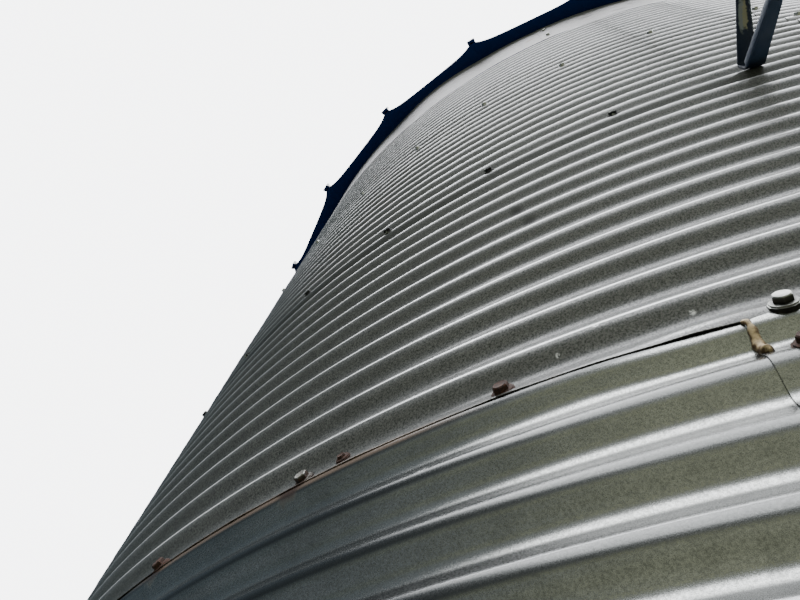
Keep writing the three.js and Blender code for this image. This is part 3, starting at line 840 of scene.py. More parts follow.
def build_peak(wall, roof, materials):
    """The collar with its skirt and rolled rim, and the lid: closed profiles turned about the axis."""
    def face(radius):
        return float(roof_face(wall, roof, radius * math.cos(math.pi / roof.panels), 0.0))

    outer, skin = roof.collar_radius, 0.003
    top = face(outer) + roof.collar_height
    skirt = roof.skirt_radius
    collar = rounded_outline(
        [
            (outer - 0.006, face(outer) - 0.03), (outer, face(outer) - 0.03),
            (outer, face(outer) + 0.0005), (skirt, face(skirt) + 0.0005),
            (skirt, face(skirt) + 0.0045), (outer + 0.004, face(outer) + 0.0035),
            (outer, face(outer) + 0.012), (outer, top - 0.02), (outer + 0.006, top - 0.012),
            (outer, top), (outer - 0.006, top),
        ],
        0.004, 3,
    )
    points, quads = revolve(collar, TURNED_SIDES)
    zinc = materials["fitting_zinc"]
    put_piece("peak_collar", points, quads, zinc, ["roof_collar"])
    seat, rim = top + CLEARANCE, roof.lid_radius
    lid = rounded_outline(
        [
            (0.02, seat + roof.lid_rise), (0.12, seat + roof.lid_rise - 0.012),
            (rim - 0.03, seat + 0.016), (rim - 0.002, seat + 0.006), (rim, seat - roof.lid_lip + 0.006),
            (rim + 0.004, seat - roof.lid_lip + 0.003), (rim, seat - roof.lid_lip),
            (rim - skin, seat - roof.lid_lip), (rim - 0.004, seat), (outer - 0.02, seat),
            (0.12, seat + roof.lid_rise - 0.018), (0.02, seat + roof.lid_rise - 0.006),
        ],
        0.006, 3,
    )
    low, high = seat + roof.lid_rise - 0.008, seat + roof.lid_rise + 0.001
    cap = rounded_outline([(0.0005, low), (0.03, low), (0.03, high), (0.0005, high + 0.004)], 0.003, 3)
    points, faces = joined([revolve(lid, TURNED_SIDES), revolve(cap, TURNED_SIDES // 3)])
    put_piece("peak_lid", points, faces, zinc, ["roof_lid"])


# The ladder


def ladder_place(ladder, across, outward, height, aside=0.0):
    """Points by the ladder: sideways steps, distances from the silo's axis and heights, turned to it."""
    turn = ladder.azimuth + aside
    across, outward, height = np.broadcast_arrays(across, outward, height)
    return np.stack(
        [
            across * math.cos(turn) + outward * math.sin(turn),
            across * math.sin(turn) - outward * math.cos(turn),
            height,
        ],
        -1,
    )


def build_ladder(wall, ladder, materials):
    """Flat rails with eased edges, and round rungs that swell into a weld at each end."""
    foot, head = ladder.foot * wall.pitch, ladder.head * wall.pitch
    depth, thick = ladder.rail_depth / 2, ladder.rail_thickness / 2
    outline = rounded_outline(rectangle(-thick, -depth, thick, depth), RAIL_ROUNDING)
    parts = []
    for side in (-1, 1):
        height = np.linspace(foot, head, 9)[:, None]
        sections = ladder_place(
            ladder, side * ladder.rail_spacing / 2 + outline[None, :, 0],
            ladder.rail_radius + outline[None, :, 1], height,
        )
        parts.append(capped_sweep(sections[:, ::-1]))
    half = ladder.rail_spacing / 2 - ladder.rail_thickness / 2
    along = np.concatenate([-half + RUNG_COLUMNS, [0.0], (half - RUNG_COLUMNS)[::-1]])
    weld = np.exp(-(half - np.abs(along)) / WELD)
    radius = ladder.rung_diameter / 2 + WELD * weld
    turn = np.linspace(0, 2 * np.pi, RUNG_SIDES, endpoint=False)
    level = foot + ladder.rung_spacing / 2
    while level < head - ladder.rung_diameter:
        lump = 1 + WELD_LUMPS * np.sin(5 * turn[None, :] + level) * weld[:, None]
        sections = ladder_place(
            ladder, along[:, None], ladder.rail_radius + radius[:, None] * np.cos(turn) * lump,
            level + radius[:, None] * np.sin(turn) * lump,
        )
        parts.append(capped_sweep(sections[:, ::-1]))
        level += ladder.rung_spacing
    points, faces = joined(parts)
    put_piece("ladder_frame", points, faces, materials["fitting_zinc"], ["ladder"])


def strap_sections(ladder, path, section, aside, taper):
    """Sections of a flat strap: its outline, as wide as its taper says, set square to the path.

    The path is a line of (outward, height) points.
    """
    step = np.gradient(path, axis=0)
    step /= np.linalg.norm(step, axis=1, keepdims=True)
    square = np.stack([-step[:, 1], step[:, 0]], -1)
    outward = path[:, None, 0] + square[:, None, 0] * section[None, :, 1]
    height = path[:, None, 1] + square[:, None, 1] * section[None, :, 1]
    return ladder_place(ladder, section[None, :, 0] * taper[:, None], outward, height, aside)


def filleted_path(corners, radius, steps=6):
    """An open line of points whose inner corners are rounded by quadratic arcs."""
    corners = np.asarray(corners, float)
    rows = [corners[:1]]
    for before, corner, after in zip(corners[:-2], corners[1:-1], corners[2:]):
        start = corner + (before - corner) / np.linalg.norm(before - corner) * radius
        end = corner + (after - corner) / np.linalg.norm(after - corner) * radius
        t = np.linspace(0, 1, steps)[:, None]
        rows.append((1 - t) ** 2 * start + 2 * t * (1 - t) * corner + t**2 * end)
    rows.append(corners[-1:])
    return np.concatenate(rows)


def strap_parts(ladder, middle, seat, aside):
    """A V-shaped strap in a plane through the silo's axis, with an edge folded up from its raking leg.

    It runs down its rail's tab, in along the level leg, down the wall, out along the raking leg and down
    again on the rail.
    """
    angle = abs(aside)
    rail = (ladder.rail_radius - ladder.rail_depth / 2) / math.cos(angle)
    rail -= ladder.rail_thickness / 2 * math.tan(angle) + CLEARANCE
    t = ladder.strap_thickness / 2
    foot, drop, tab = ladder.strap_foot, ladder.strap_drop, ladder.strap_tab
    corners = [
        (rail - t, tab), (rail - t, t), (seat + t, t), (seat + t, -foot - t),
        (rail - t, -drop - t), (rail - t, -drop - 4 * t - tab),
    ]
    path = filleted_path(corners, STRAP_BEND) + (0, middle)
    width = ladder.strap_width / 2
    section = rounded_outline(rectangle(-width, -t, width, t), STRAP_ROUNDING, 3)
    taper = np.interp(path[:, 0], [seat + t, rail - t], STRAP_TAPER)
    sections = strap_sections(ladder, path, section, aside, taper)
    leg = np.array([(seat + 0.010, -foot - 0.010), (rail - 0.014, -drop + 0.002)]) + (0, middle)
    low = -width - LIP_OUT
    lip = rounded_outline(rectangle(low, -t, low + LIP_SKIN, LIP_RISE), LIP_ROUNDING, 3)
    fold = strap_sections(ladder, leg, lip, aside, np.array(LIP_TAPER))
    along = np.concatenate([[0], np.cumsum(np.linalg.norm(np.diff(path, axis=0), axis=1))])
    uv = np.stack(np.broadcast_arrays(section[None, :, 0], along[:, None]), -1).reshape(-1, 2)
    unworn = np.ones((fold.shape[0], fold.shape[1], 2))
    # The lip's outer half is placed where the fold's painted highlight lies
    unworn[:, len(lip) // 2 :, 0] = FOLD_EDGE
    unworn = unworn.reshape(-1, 2)
    points, faces = joined([capped_sweep(sections), capped_sweep(fold)])
    return points, faces, np.concatenate([uv, unworn])


def build_straps(wall, ladder, materials):
    """The four straps that hold the ladder."""
    seat = wall.crest_radius + STRAP_SEAT
    angle = math.atan2(ladder.rail_spacing / 2, ladder.rail_radius)
    for level, pitches in (("lower", ladder.lower_bracket), ("upper", ladder.upper_bracket)):
        for side, word in ((-1, "left"), (1, "right")):
            points, faces, uv = strap_parts(ladder, pitches * wall.pitch, seat, side * angle)
            put_piece(
                f"strap_{level}_{word}", points, faces, materials["strap_steel"],
                [f"ladder_bracket_{level}_{word}"], uv=uv,
            )


# Fasteners


def flange_bolt(across_flats=0.016, flange=0.01225, head=0.0095, washer=0.004):
    """A flange bolt: columns whose radius swells to a hexagon's corners, in rows from its washer to its top.

    Its last result is each point's painted shade, from 0 where it is painted dark, as on the washer and
    under the head, to 1 on the head's rim, which is a painted highlight.
    """
    turn = np.arange(BOLT_SIDES) * np.pi / 6
    corner = across_flats / 2 / np.cos((turn + np.pi / 6) % (np.pi / 3) - np.pi / 6)
    level = np.ones(BOLT_SIDES)
    rows = (
        (flange * 1.14 * level, -washer, 0.0), (flange * 1.12 * level, 0.0006, 0.0),
        (flange * level, 0.0008, 0.6), (flange * 0.99 * level, 0.0022, 0.4), (corner, 0.0032, 0.0),
        (corner, head - 0.0012, 0.15), (across_flats * 0.46 * level, head, 1.0),
        (across_flats * 0.34 * level, head - 0.0006, 0.8),
    )
    points = [np.stack([r * np.cos(turn), r * np.sin(turn), z * level], -1) for r, z, _ in rows]
    cap = (len(rows) - 1) * BOLT_SIDES + np.arange(BOLT_SIDES)[None, :]
    shade = np.repeat([row[2] for row in rows], BOLT_SIDES)
    return np.concatenate(points), [grid_quads(len(rows), BOLT_SIDES, wrap=True), cap], shade


def bolt_set(radius, azimuth, height, tilt):
    """Origins and directions of bolts on the silo; the tilt turns their heads up, in degrees."""
    azimuth = np.asarray(azimuth, float)
    lean = np.radians(np.broadcast_to(np.asarray(tilt, float), azimuth.shape))
    origin = on_silo(radius, azimuth, height)
    outward = on_silo(np.cos(lean), azimuth, np.sin(lean))
    upward = on_silo(-np.sin(lean), azimuth, np.cos(lean))
    return origin, outward, upward


def put_bolts(name, template, places, rust, materials, dark=1.0):
    """Stamps one row of bolts as one piece, spun by seeded turns.

    Their points carry each one's rust, and the template's painted shade with its dark parts as dark as
    asked.
    """
    origin, outward, upward = places
    rng = np.random.default_rng(len(origin))
    spin = rng.uniform(0, np.pi / 3, len(origin))[:, None]
    across = np.cross(upward, outward)
    turned = upward * np.cos(spin) + across * np.sin(spin)
    points, faces = stamped(template, origin, outward, turned)
    each = np.repeat(rust, len(template[0]))
    values = {"rust": each, "shade": np.tile(1 - dark * (1 - template[2]), len(origin))}
    put_piece(name, points, faces, materials["bolt_zinc"], sharp=30, values=values)


def build_seam_bolts(wall, bolt, rng, materials):
    """A row of bolts over every seam; on the loose one, those in view stand where LOOSE_BOLTS says."""
    count = wall.bolts_around
    first = math.degrees(wall.bolt_azimuth)
    for seam in range(wall.rings):
        azimuth = first + COLUMN_DRIFT[seam] + 360 / count * np.arange(count)
        azimuth = (azimuth + rng.uniform(-BOLT_STRAY, BOLT_STRAY, count) + 180) % 360 - 180
        rust = rng.uniform(0, 0.35, count) ** 1.5
        rise = BOLT_RISE + rng.uniform(-0.05, 0.03, count)
        dark = 1.0
        if seam == LOOSE_RING:
            for place, over, amount in LOOSE_BOLTS:
                nearest = np.argmin(np.abs(azimuth - place))
                azimuth[nearest], rise[nearest], rust[nearest] = place, over, amount
        elif seam == LOOSE_RING + 1:
            rust = np.full(count, OLD_RUST)
        elif seam > LOOSE_RING + 1:
            dark, rust = FAR_BOLT_DARK, np.zeros(count)
        radius = wall.crest_radius - wave(wall, rise) + foot_stand(wall, seam, azimuth, rise) + BOLT_LIFT
        height = (seam * wall.ring_pitches + rise) * wall.pitch
        places = bolt_set(radius, azimuth, height, BOLT_TILT)
        put_bolts(f"seam_bolts_{seam}", bolt, places, rust, materials, dark=dark)


def build_lap_bolts(wall, bolt, rng, materials):
    """Bolts down every lap of the rings and of the band."""
    aside = math.degrees(-wall.lap_offset) + LAP_BOLT_ASIDE
    for ring in range(wall.rings + 1):
        plain = ring == wall.rings
        levels = BAND_BOLTS if plain else np.arange(LAP_BOLT_RISE, wall.ring_pitches, LAP_BOLT_STEP)
        laps = [lap_azimuth(wall, ring, sheet) for sheet in range(ARCS_PER_RING * SHEETS_PER_ARC)]
        azimuth, rise = (grid.ravel() for grid in np.meshgrid(np.array(laps) + aside, levels))
        depth = 0.0 if plain else wave(wall, rise)
        tilt = 0.0 if plain else LAP_BOLT_TILT * np.sin(2 * np.pi * rise)
        radius = wall.crest_radius - depth + LAP_BOLT_LIFT * wall.thickness
        height = (ring * wall.ring_pitches + rise) * wall.pitch
        rust = rng.uniform(0, 0.3, len(azimuth)) ** 1.5
        if ring == LOOSE_RING - 1:
            rust = rust + LOOSE_LAP_RUST
        dark = FAR_BOLT_DARK if ring > LOOSE_RING else 1.0
        places = bolt_set(radius, azimuth, height, tilt)
        put_bolts(f"lap_bolts_{ring}", bolt, places, rust * dark, materials, dark=dark)


def build_anchors(wall, rng, materials):
    """Nuts on the angle round the foot, each halfway between two bolt columns."""
    columns = 0.5 + np.arange(0, wall.bolts_around, ANCHOR_COLUMNS)
    azimuth = math.degrees(wall.bolt_azimuth) + 360 / wall.bolts_around * columns
    origin = on_silo(wall.crest_radius + ANCHOR_REACH, azimuth, wall.base_thickness + 0.0005)
    up = np.tile([0.0, 0.0, 1.0], (len(azimuth), 1))
    places = (origin, up, on_silo(1.0, azimuth, 0.0))
    rust = rng.uniform(0.1, 0.5, len(azimuth))
    put_bolts("anchor_nuts", flange_bolt(*ANCHOR), places, rust, materials)


def build_bolt_end(wall, screw, materials):
    """The bare bolt end over the loose seam."""
    azimuth, rise, rust = (np.array([value]) for value in BOLT_END)
    radius = wall.crest_radius - wave(wall, rise) + BOLT_END_LIFT
    height = (LOOSE_RING * wall.ring_pitches + rise) * wall.pitch
    put_bolts("bolt_end", screw, bolt_set(radius, azimuth, height, BOLT_TILT), rust, materials)


def build_rib_screws(wall, roof, screw, rng, materials):
    """Screws down the top of every rib."""
    ribs = math.degrees(roof.rib_azimuth) + 360 / roof.panels * np.arange(roof.panels)
    along = np.linspace(FIRST_SCREW, roof.rib_foot * wall.crest_radius - LAST_SCREW, RIB_SCREWS)
    azimuth, radius = (grid.ravel() for grid in np.meshgrid(ribs, along))
    base = roof_face(wall, roof, radius * math.cos(math.pi / roof.panels), 0.0)
    upright = on_silo(math.sin(roof.slope), azimuth, math.cos(roof.slope))
    origin = on_silo(radius, azimuth, base) + upright * (roof.rib_height + 0.0004)
    down = on_silo(math.cos(roof.slope), azimuth, -math.sin(roof.slope))
    rust = rng.uniform(0, 0.3, len(azimuth))
    put_bolts("rib_screws", screw, (origin, upright, down), rust, materials)


def build_fasteners(wall, roof, materials):
    """Bolts over every seam and down every lap, anchors round the foot, and screws along the ribs."""
    bolt, screw = flange_bolt(), flange_bolt(*SCREW)
    rng = np.random.default_rng(5)
    build_seam_bolts(wall, bolt, rng, materials)
    build_lap_bolts(wall, bolt, rng, materials)
    build_anchors(wall, rng, materials)
    build_bolt_end(wall, screw, materials)
    build_rib_screws(wall, roof, screw, rng, materials)


def build_sealant(wall, materials):
    """The lumpy bead over the lap: an oval section of uneven size carried down the sheet's edge."""
    ring = LOOSE_RING - 1
    share = np.linspace(0, 1, 60)
    rise = wall.ring_pitches - BEAD_TOP - BEAD_FALL * share
    line = lap_azimuth(wall, ring, 0) + BEAD_START + BEAD_DRIFT * share + 0.03 * np.sin(7 * share)
    lumps = 1.15 + 0.12 * np.sin(23 * share) + 0.07 * np.sin(41 * share + 1)
    width, thick = np.interp(share, *BEAD_WIDTHS) * lumps, np.interp(share, *BEAD_DEPTHS)
    depth = wave(wall, rise + head_droop(ring, line, rise))
    radius = wall.crest_radius - depth + LOW_LAP_STAND * wall.thickness + 0.0004
    turn = np.linspace(0, 2 * np.pi, 14, endpoint=False)
    out = radius[:, None] + thick[:, None] * np.sin(turn)
    azimuth = line[:, None] + np.degrees(width[:, None] * np.cos(turn) / wall.crest_radius)
    height = (ring * wall.ring_pitches + rise) * wall.pitch
    points, faces = capped_sweep(on_silo(out, azimuth, height[:, None]))
    # Painted shade: edge is strongest at the bead's two sides, where it meets the wall
    values = {"edge": np.tile(np.abs(np.cos(turn)) ** 3, len(share))}
    put_piece(
        "lap_sealant", points, faces, materials["sealant"], sharp=80, values=values
    )


# Materials


def feed(tree, socket, value):
    """Links an input to another socket, or sets it to a number, a vector or a colour."""
    if isinstance(value, bpy.types.NodeSocket):
        tree.links.new(value, socket)
    else:
        socket.default_value = value


def add_node(tree, kind, values=None, **settings):
    """A node with its settings, and its inputs fed by their numbers or names."""
    node = tree.nodes.new(kind)
    for key, value in settings.items():
        setattr(node, key, value)
    for key, value in (values or {}).items():
        feed(tree, node.inputs[key], value)
    return node


def maths(tree, operation, *values, clamp=False):
    """The result of one Math node."""
    node = add_node(tree, "ShaderNodeMath", dict(enumerate(values)), operation=operation, use_clamp=clamp)
    return node.outputs[0]


def times(tree, first, second):
    """The product of two values."""
    return maths(tree, "MULTIPLY", first, second)


def plus(tree, first, second):
    """The sum of two values."""
    return maths(tree, "ADD", first, second)


def minus(tree, first, second):
    """The difference of two values."""
    return maths(tree, "SUBTRACT", first, second)


def slant(tree, x, y):
    """The length of a line from its steps along two axes."""
    return maths(tree, "SQRT", plus(tree, maths(tree, "POWER", x, 2.0), maths(tree, "POWER", y, 2.0)))


def remap(tree, value, low, high, start=0.0, end=1.0, kind="SMOOTHSTEP"):
    """A value taken from one range to another, held at its ends."""
    values = {0: value, 1: low, 2: high, 3: start, 4: end}
    return add_node(tree, "ShaderNodeMapRange", values, interpolation_type=kind).outputs[0]


def between(tree, share, start, end):
    """A value that runs evenly from start to end while a share runs from 0 to 1."""
    return remap(tree, share, 0.0, 1.0, start, end, "LINEAR")


def mixed(tree, factor, first, second):
    """Two colours mixed by a factor."""
    node = add_node(tree, "ShaderNodeMix", {0: factor}, data_type="RGBA")
    for index, value in ((6, first), (7, second)):
        linked = isinstance(value, bpy.types.NodeSocket)
        feed(tree, node.inputs[index], value if linked else (*value[:3], 1.0))
    return node.outputs[2]


def layered(tree, base, layers):
    """A colour under layers of others, each given by its mask, its strength and its colour."""
    for mask, strength, paint in layers:
        base = mixed(tree, times(tree, mask, strength), base, paint)
    return base


def noise(tree, vector, scale, detail=3.0, roughness=0.55):
    """The value of a noise texture."""
    values = {"Vector": vector, "Scale": scale, "Detail": detail, "Roughness": roughness}
    return add_node(tree, "ShaderNodeTexNoise", values).outputs[0]


def stretched(tree, vector, scale):
    """A vector scaled on each axis."""
    return add_node(tree, "ShaderNodeMapping", {"Vector": vector, "Scale": scale}).outputs[0]


def new_group(name, inputs, *outputs):
    """A shader node group with its two ends; inputs without a default are vectors, and the rest numbers."""
    group = bpy.data.node_groups.new(name, "ShaderNodeTree")
    for label, default in inputs.items():
        kind = "NodeSocketVector" if default is None else "NodeSocketFloat"
        socket = group.interface.new_socket(label, in_out="INPUT", socket_type=kind)
        if default is not None:
            socket.default_value = default
    for label in outputs:
        group.interface.new_socket(label, in_out="OUTPUT", socket_type="NodeSocketFloat")
    return group, group.nodes.new("NodeGroupInput").outputs, group.nodes.new("NodeGroupOutput").inputs


def lobe(tree, value, low, low_full, high_full, high):
    """1 from low_full to high_full, fading to 0 at low and at high."""
    return times(tree, remap(tree, value, low, low_full), remap(tree, value, high, high_full))


def grain_group():
    """Weathered zinc: grain at two sizes, as a tone from 0 to 1 and as a height."""
    group, given, wanted = new_group("zinc grain", {"Vector": None, "Scale": 180.0}, "Tone", "Height")
    vector, scale = given[:2]
    coarse = noise(group, vector, scale, 4.0, 0.7)
    fine = noise(group, vector, times(group, scale, 4.0), 3.0, 0.65)
    both = plus(group, times(group, coarse, 0.6), times(group, fine, 0.4))
    feed(group, wanted[0], remap(group, both, 0.39, 0.61, kind="LINEAR"))
    feed(group, wanted[1], both)
    return group


def corrugation_group():
    """Masks along the wave: the crest line, where a highlight is painted, and the flank that looks down and
    the shoulders of the crest, where shade is painted.

    The crest line fades out near a seam.
    """
    group, given, wanted = new_group("corrugation", {"Height": 0.0}, "Crest", "Underside", "Shoulder")
    height = given[0]
    phase = maths(group, "FRACT", height)
    moved = maths(group, "FRACT", plus(group, height, 0.5 - CREST_LINE))
    from_crest = maths(group, "ABSOLUTE", minus(group, moved, 0.5))
    ring = maths(group, "DIVIDE", height, RING_PITCHES)
    from_seam = maths(group, "ABSOLUTE", minus(group, ring, maths(group, "ROUND", ring)))
    # Painted highlight: the crest line, fading out near a seam
    line = times(group, remap(group, from_crest, 0.037, 0.014), remap(group, from_seam, 0.02, 0.05))
    feed(group, wanted[0], line)
    # The flank that looks down, where painted shade lies
    feed(group, wanted[1], lobe(group, phase, 0.42, 0.66, 0.88, 0.98))
    # Where painted shade lies on the shoulders beside the crest line
    feed(group, wanted[2], remap(group, from_crest, 0.29, 0.20))
    return group


def streak_group():
    """Rain marks: noise drawn out down the wall."""
    group, given, wanted = new_group("rain streaks", {"Vector": None}, "Mask")
    fine = noise(group, stretched(group, given[0], (26.0, 26.0, 1.1)), 1.0, 4.0, 0.6)
    broad = noise(group, stretched(group, given[0], (4.0, 4.0, 0.7)), 1.0, 2.0)
    feed(group, wanted[0], times(group, remap(group, fine, 0.5, 0.75), remap(group, broad, 0.4, 0.65)))
    return group


def grime_group():
    """Blotches of dirt at two sizes."""
    group, given, wanted = new_group("grime_and_shade", {"Vector": None, "Scale": 6.0}, "Mask")
    vector, scale = given[:2]
    broad = noise(group, vector, scale, 5.0, 0.62)
    fine = noise(group, vector, times(group, scale, 9.0), 3.0)
    total = plus(group, times(group, broad, 0.7), times(group, fine, 0.3))
    feed(group, wanted[0], remap(group, total, 0.42, 0.66))
    return group


def seam_stain_group():
    """Stains of the loose seam: a tan film just over it, mostly on one side, and rust round some bolts."""
    inputs = {"Column": 0.0, "Height": 0.0, "Vector": None}
    group, given, wanted = new_group("seam stains", inputs, "Film", "Rust")
    column, height, vector = given[:3]
    over = minus(group, height, LOOSE_RING * RING_PITCHES)
    ragged = times(group, minus(group, noise(group, vector, 70.0, 4.0, 0.65), 0.5), 0.3)
    strip = times(
        group, remap(group, plus(group, over, ragged), 0.26, 0.06), remap(group, over, -0.08, 0.0)
    )
    side = lobe(group, column, *FILM_COLUMNS)
    patches = remap(group, noise(group, vector, 9.0, 3.0), 0.5, 0.68, 0.0, 0.3)
    feed(group, wanted[0], times(group, strip, maths(group, "MAXIMUM", side, patches)))
    shifted = plus(group, column, 0.5 - HALO_ASIDE)
    aside = times(group, minus(group, maths(group, "FRACT", shifted), 0.5), COLUMN_PITCHES)
    far = slant(group, aside, minus(group, over, HALO_RISE))
    turn = maths(group, "FLOOR", shifted)
    which = add_node(group, "ShaderNodeTexWhiteNoise", {"W": turn}, noise_dimensions="1D").outputs[0]
    chance = maths(group, "MAXIMUM", remap(group, which, 0.55, 0.95), side)
    feed(group, wanted[1], times(group, remap(group, plus(group, far, ragged), 0.40, 0.20), chance))
    return group


def new_material(name):
    """A material with its Principled BSDF, its Object coordinates and its tree."""
    material = bpy.data.materials.new(name)
    material.use_nodes = True
    tree = material.node_tree
    shader = tree.nodes["Principled BSDF"]
    where = tree.nodes.new("ShaderNodeTexCoord").outputs["Object"]
    return material, tree, shader, where


def use_group(tree, group, **values):
    """The outputs of a node that holds a group, with its inputs fed by their names."""
    return list(add_node(tree, "ShaderNodeGroup", values, node_tree=group).outputs)


def surface_place(tree):
    """The mesh's two surface coordinates."""
    surface = add_node(tree, "ShaderNodeUVMap", uv_map="surface").outputs[0]
    return add_node(tree, "ShaderNodeSeparateXYZ", {0: surface}).outputs[:2]


def carried(tree, name):
    """A number that the mesh's points carry."""
    return add_node(tree, "ShaderNodeAttribute", attribute_name=name).outputs["Fac"]


def facing_down(tree, low, high):
    """1 where the surface looks down, from its normal's height."""
    normal = tree.nodes.new("ShaderNodeNewGeometry").outputs["Normal"]
    height = add_node(tree, "ShaderNodeSeparateXYZ", {0: normal}).outputs[2]
    return remap(tree, height, high, low)


def finish(tree, shader, base, rough, metal, height=None, strength=0.2, distance=0.001):
    """Feeds the shader's colour, roughness, metal and bump."""
    for key, value in (("Base Color", base), ("Roughness", rough), ("Metallic", metal)):
        feed(tree, shader.inputs[key], value)
    if height is not None:
        values = {"Strength": strength, "Distance": distance, "Height": height}
        feed(tree, shader.inputs["Normal"], add_node(tree, "ShaderNodeBump", values).outputs[0])


def wall_zinc(name, colours, groups, light, dark, look):
    """Galvanised corrugated sheet: grain, painted shade on the shoulders, on the flank that looks down and
    in a strip under a seam, dirt, rain marks, a painted highlight along each crest, and stains.
    """
    material, tree, shader, where = new_material(name)
    column, height = surface_place(tree)
    tone, grain = use_group(tree, groups["grain"], Vector=where, Scale=420.0)
    raised = minus(tree, height, look["line_rise"])
    crest, underside, shoulder = use_group(tree, groups["corrugation"], Height=raised)
    [streaks] = use_group(tree, groups["streaks"], Vector=where)
    film, rust = use_group(tree, groups["stains"], Column=column, Height=height, Vector=where)
    [dirt] = use_group(tree, groups["grime_and_shade"], Vector=where, Scale=5.0)
    layers = (
        # Painted shade on the shoulders beside the crest line
        (shoulder, look["shoulder_shade"], (0.05, 0.052, 0.052)),
        # Painted shade on the flank that looks down
        (underside, 0.15, colours.grime_and_shade),
        # Painted shade in a strip under the second seam in view
        (lobe(tree, height, *SEAM_SHADE_BAND), 0.5, colours.grime_and_shade),
        (streaks, 0.3, (0.05, 0.052, 0.05)),
        (dirt, 0.2, (0.06, 0.062, 0.06)),
        # Painted highlight along each crest
        (crest, look["highlight_strength"], colours.crest),
    )
    base = layered(tree, mixed(tree, tone, dark, light), layers)
    specks = remap(tree, tone, 0.25, 0.6)
    for azimuth, at_height, wide, high, shade in WALL_MARKS:
        at_column = (azimuth - BOLT_AZIMUTH) * BOLTS_AROUND / 360
        mark = oval(tree, column, height, at_column, at_height, wide, high, 0.5)
        base = layered(tree, base, [(mark, specks, (shade,) * 3)])
    base = layered(tree, base, ((film, 0.45, colours.tan_rust), (rust, 0.8, colours.rust)))
    smooth, coarse = look["roughs"]
    rough = maths(tree, "SUBTRACT", between(tree, tone, coarse, smooth), times(tree, crest, 0.1), clamp=True)
    metal = between(tree, maths(tree, "MAXIMUM", film, rust), look["metal"], 0.15)
    finish(tree, shader, base, rough, metal, grain, look["bump"], GRAIN_DEPTH)
    shader.inputs["Specular IOR Level"].default_value = look["specular"]
    shader.inputs["Coat Weight"].default_value = look["coat"]
    shader.inputs["Coat Roughness"].default_value = 0.05
    shader.inputs["Coat IOR"].default_value = 1.35
    return material


def plain_zinc(name, colours, groups, look):
    """Plain galvanised steel: grain, blotches of dirt and rain marks; on the roof, faces that look down are
    given a painted shade of dark navy.
    """
    material, tree, shader, where = new_material(name)
    tone, grain = use_group(tree, groups["grain"], Vector=where, Scale=120.0)
    [dirt] = use_group(tree, groups["grime_and_shade"], Vector=where, Scale=look["dirt_scale"])
    [streaks] = use_group(tree, groups["streaks"], Vector=where)
    light, dark = ((shade,) * 3 for shade in look["tones"])
    layers = ((dirt, 0.3, (0.12, 0.115, 0.105)), (streaks, 0.25, (0.09, 0.088, 0.08)))
    base = layered(tree, mixed(tree, tone, dark, light), layers)
    rough, metal = between(tree, tone, *look["roughs"]), 0.85
    if look["soffit_shade"]:
        # Painted shade: faces that look down take the dark navy, with less metal and shine
        under = facing_down(tree, -0.5, -0.2)
        base = mixed(tree, under, base, colours.soffit_shade)
        metal = between(tree, under, metal, 0.0)
        rough = maths(tree, "ADD", rough, times(tree, under, 0.2), clamp=True)
        feed(tree, shader.inputs["Specular IOR Level"], between(tree, under, 0.5, 0.05))
    finish(tree, shader, base, rough, metal, grain, 0.15, GRAIN_DEPTH)
    return material


def oval(tree, column, height, at_column, at_height, wide, high, edge):
    """1 inside an oval spot given in surface coordinates and half sizes, fading over its edge."""
    x = maths(tree, "DIVIDE", minus(tree, column, at_column), wide)
    y = maths(tree, "DIVIDE", minus(tree, height, at_height), high)
    return remap(tree, slant(tree, x, y), 1.0 + edge, 1.0 - edge)


def band_finish(colours, groups):
    """The plain band: pale zinc with dirt, rain marks, darker ovals over its dents, a tan stain and a brown
    tide line.
    """
    material, tree, shader, where = new_material("plain band zinc")
    column, height = surface_place(tree)
    tone, grain = use_group(tree, groups["grain"], Vector=where, Scale=90.0)
    [dirt] = use_group(tree, groups["grime_and_shade"], Vector=where, Scale=6.0)
    [streaks] = use_group(tree, groups["streaks"], Vector=where)
    # Darker ovals, one over each dent of the band
    dent_ovals = [oval(tree, column, height, *place, *DENT_OVAL_SIZE, 0.25) for place in BAND_DENT_OVALS]
    stain = oval(tree, column, height, *BAND_STAIN, *STAIN_SIZE, 0.5)
    wander = times(tree, minus(tree, noise(tree, where, 30.0, 3.0), 0.5), 0.012)
    off = maths(tree, "ABSOLUTE", plus(tree, carried(tree, "off_line"), wander))
    line = times(tree, remap(tree, off, 0.0035, 0.001), lobe(tree, column, *TIDE_COLUMNS))
    layers = (
        (dirt, 0.15, (0.20, 0.19, 0.18)),
        (streaks, 0.2, (0.18, 0.17, 0.16)),
        *((dent_oval, 0.6, (0.085, 0.085, 0.085)) for dent_oval in dent_ovals),
        (stain, 0.7, colours.tan_rust),
        (line, 0.7, (0.06, 0.035, 0.02)),
    )
    pale = mixed(tree, tone, tuple(0.5 * c for c in colours.band), colours.band)
    base = layered(tree, pale, layers)
    finish(tree, shader, base, between(tree, tone, 0.50, 0.65), 0.1, grain, 0.1, 0.0005)
    return material


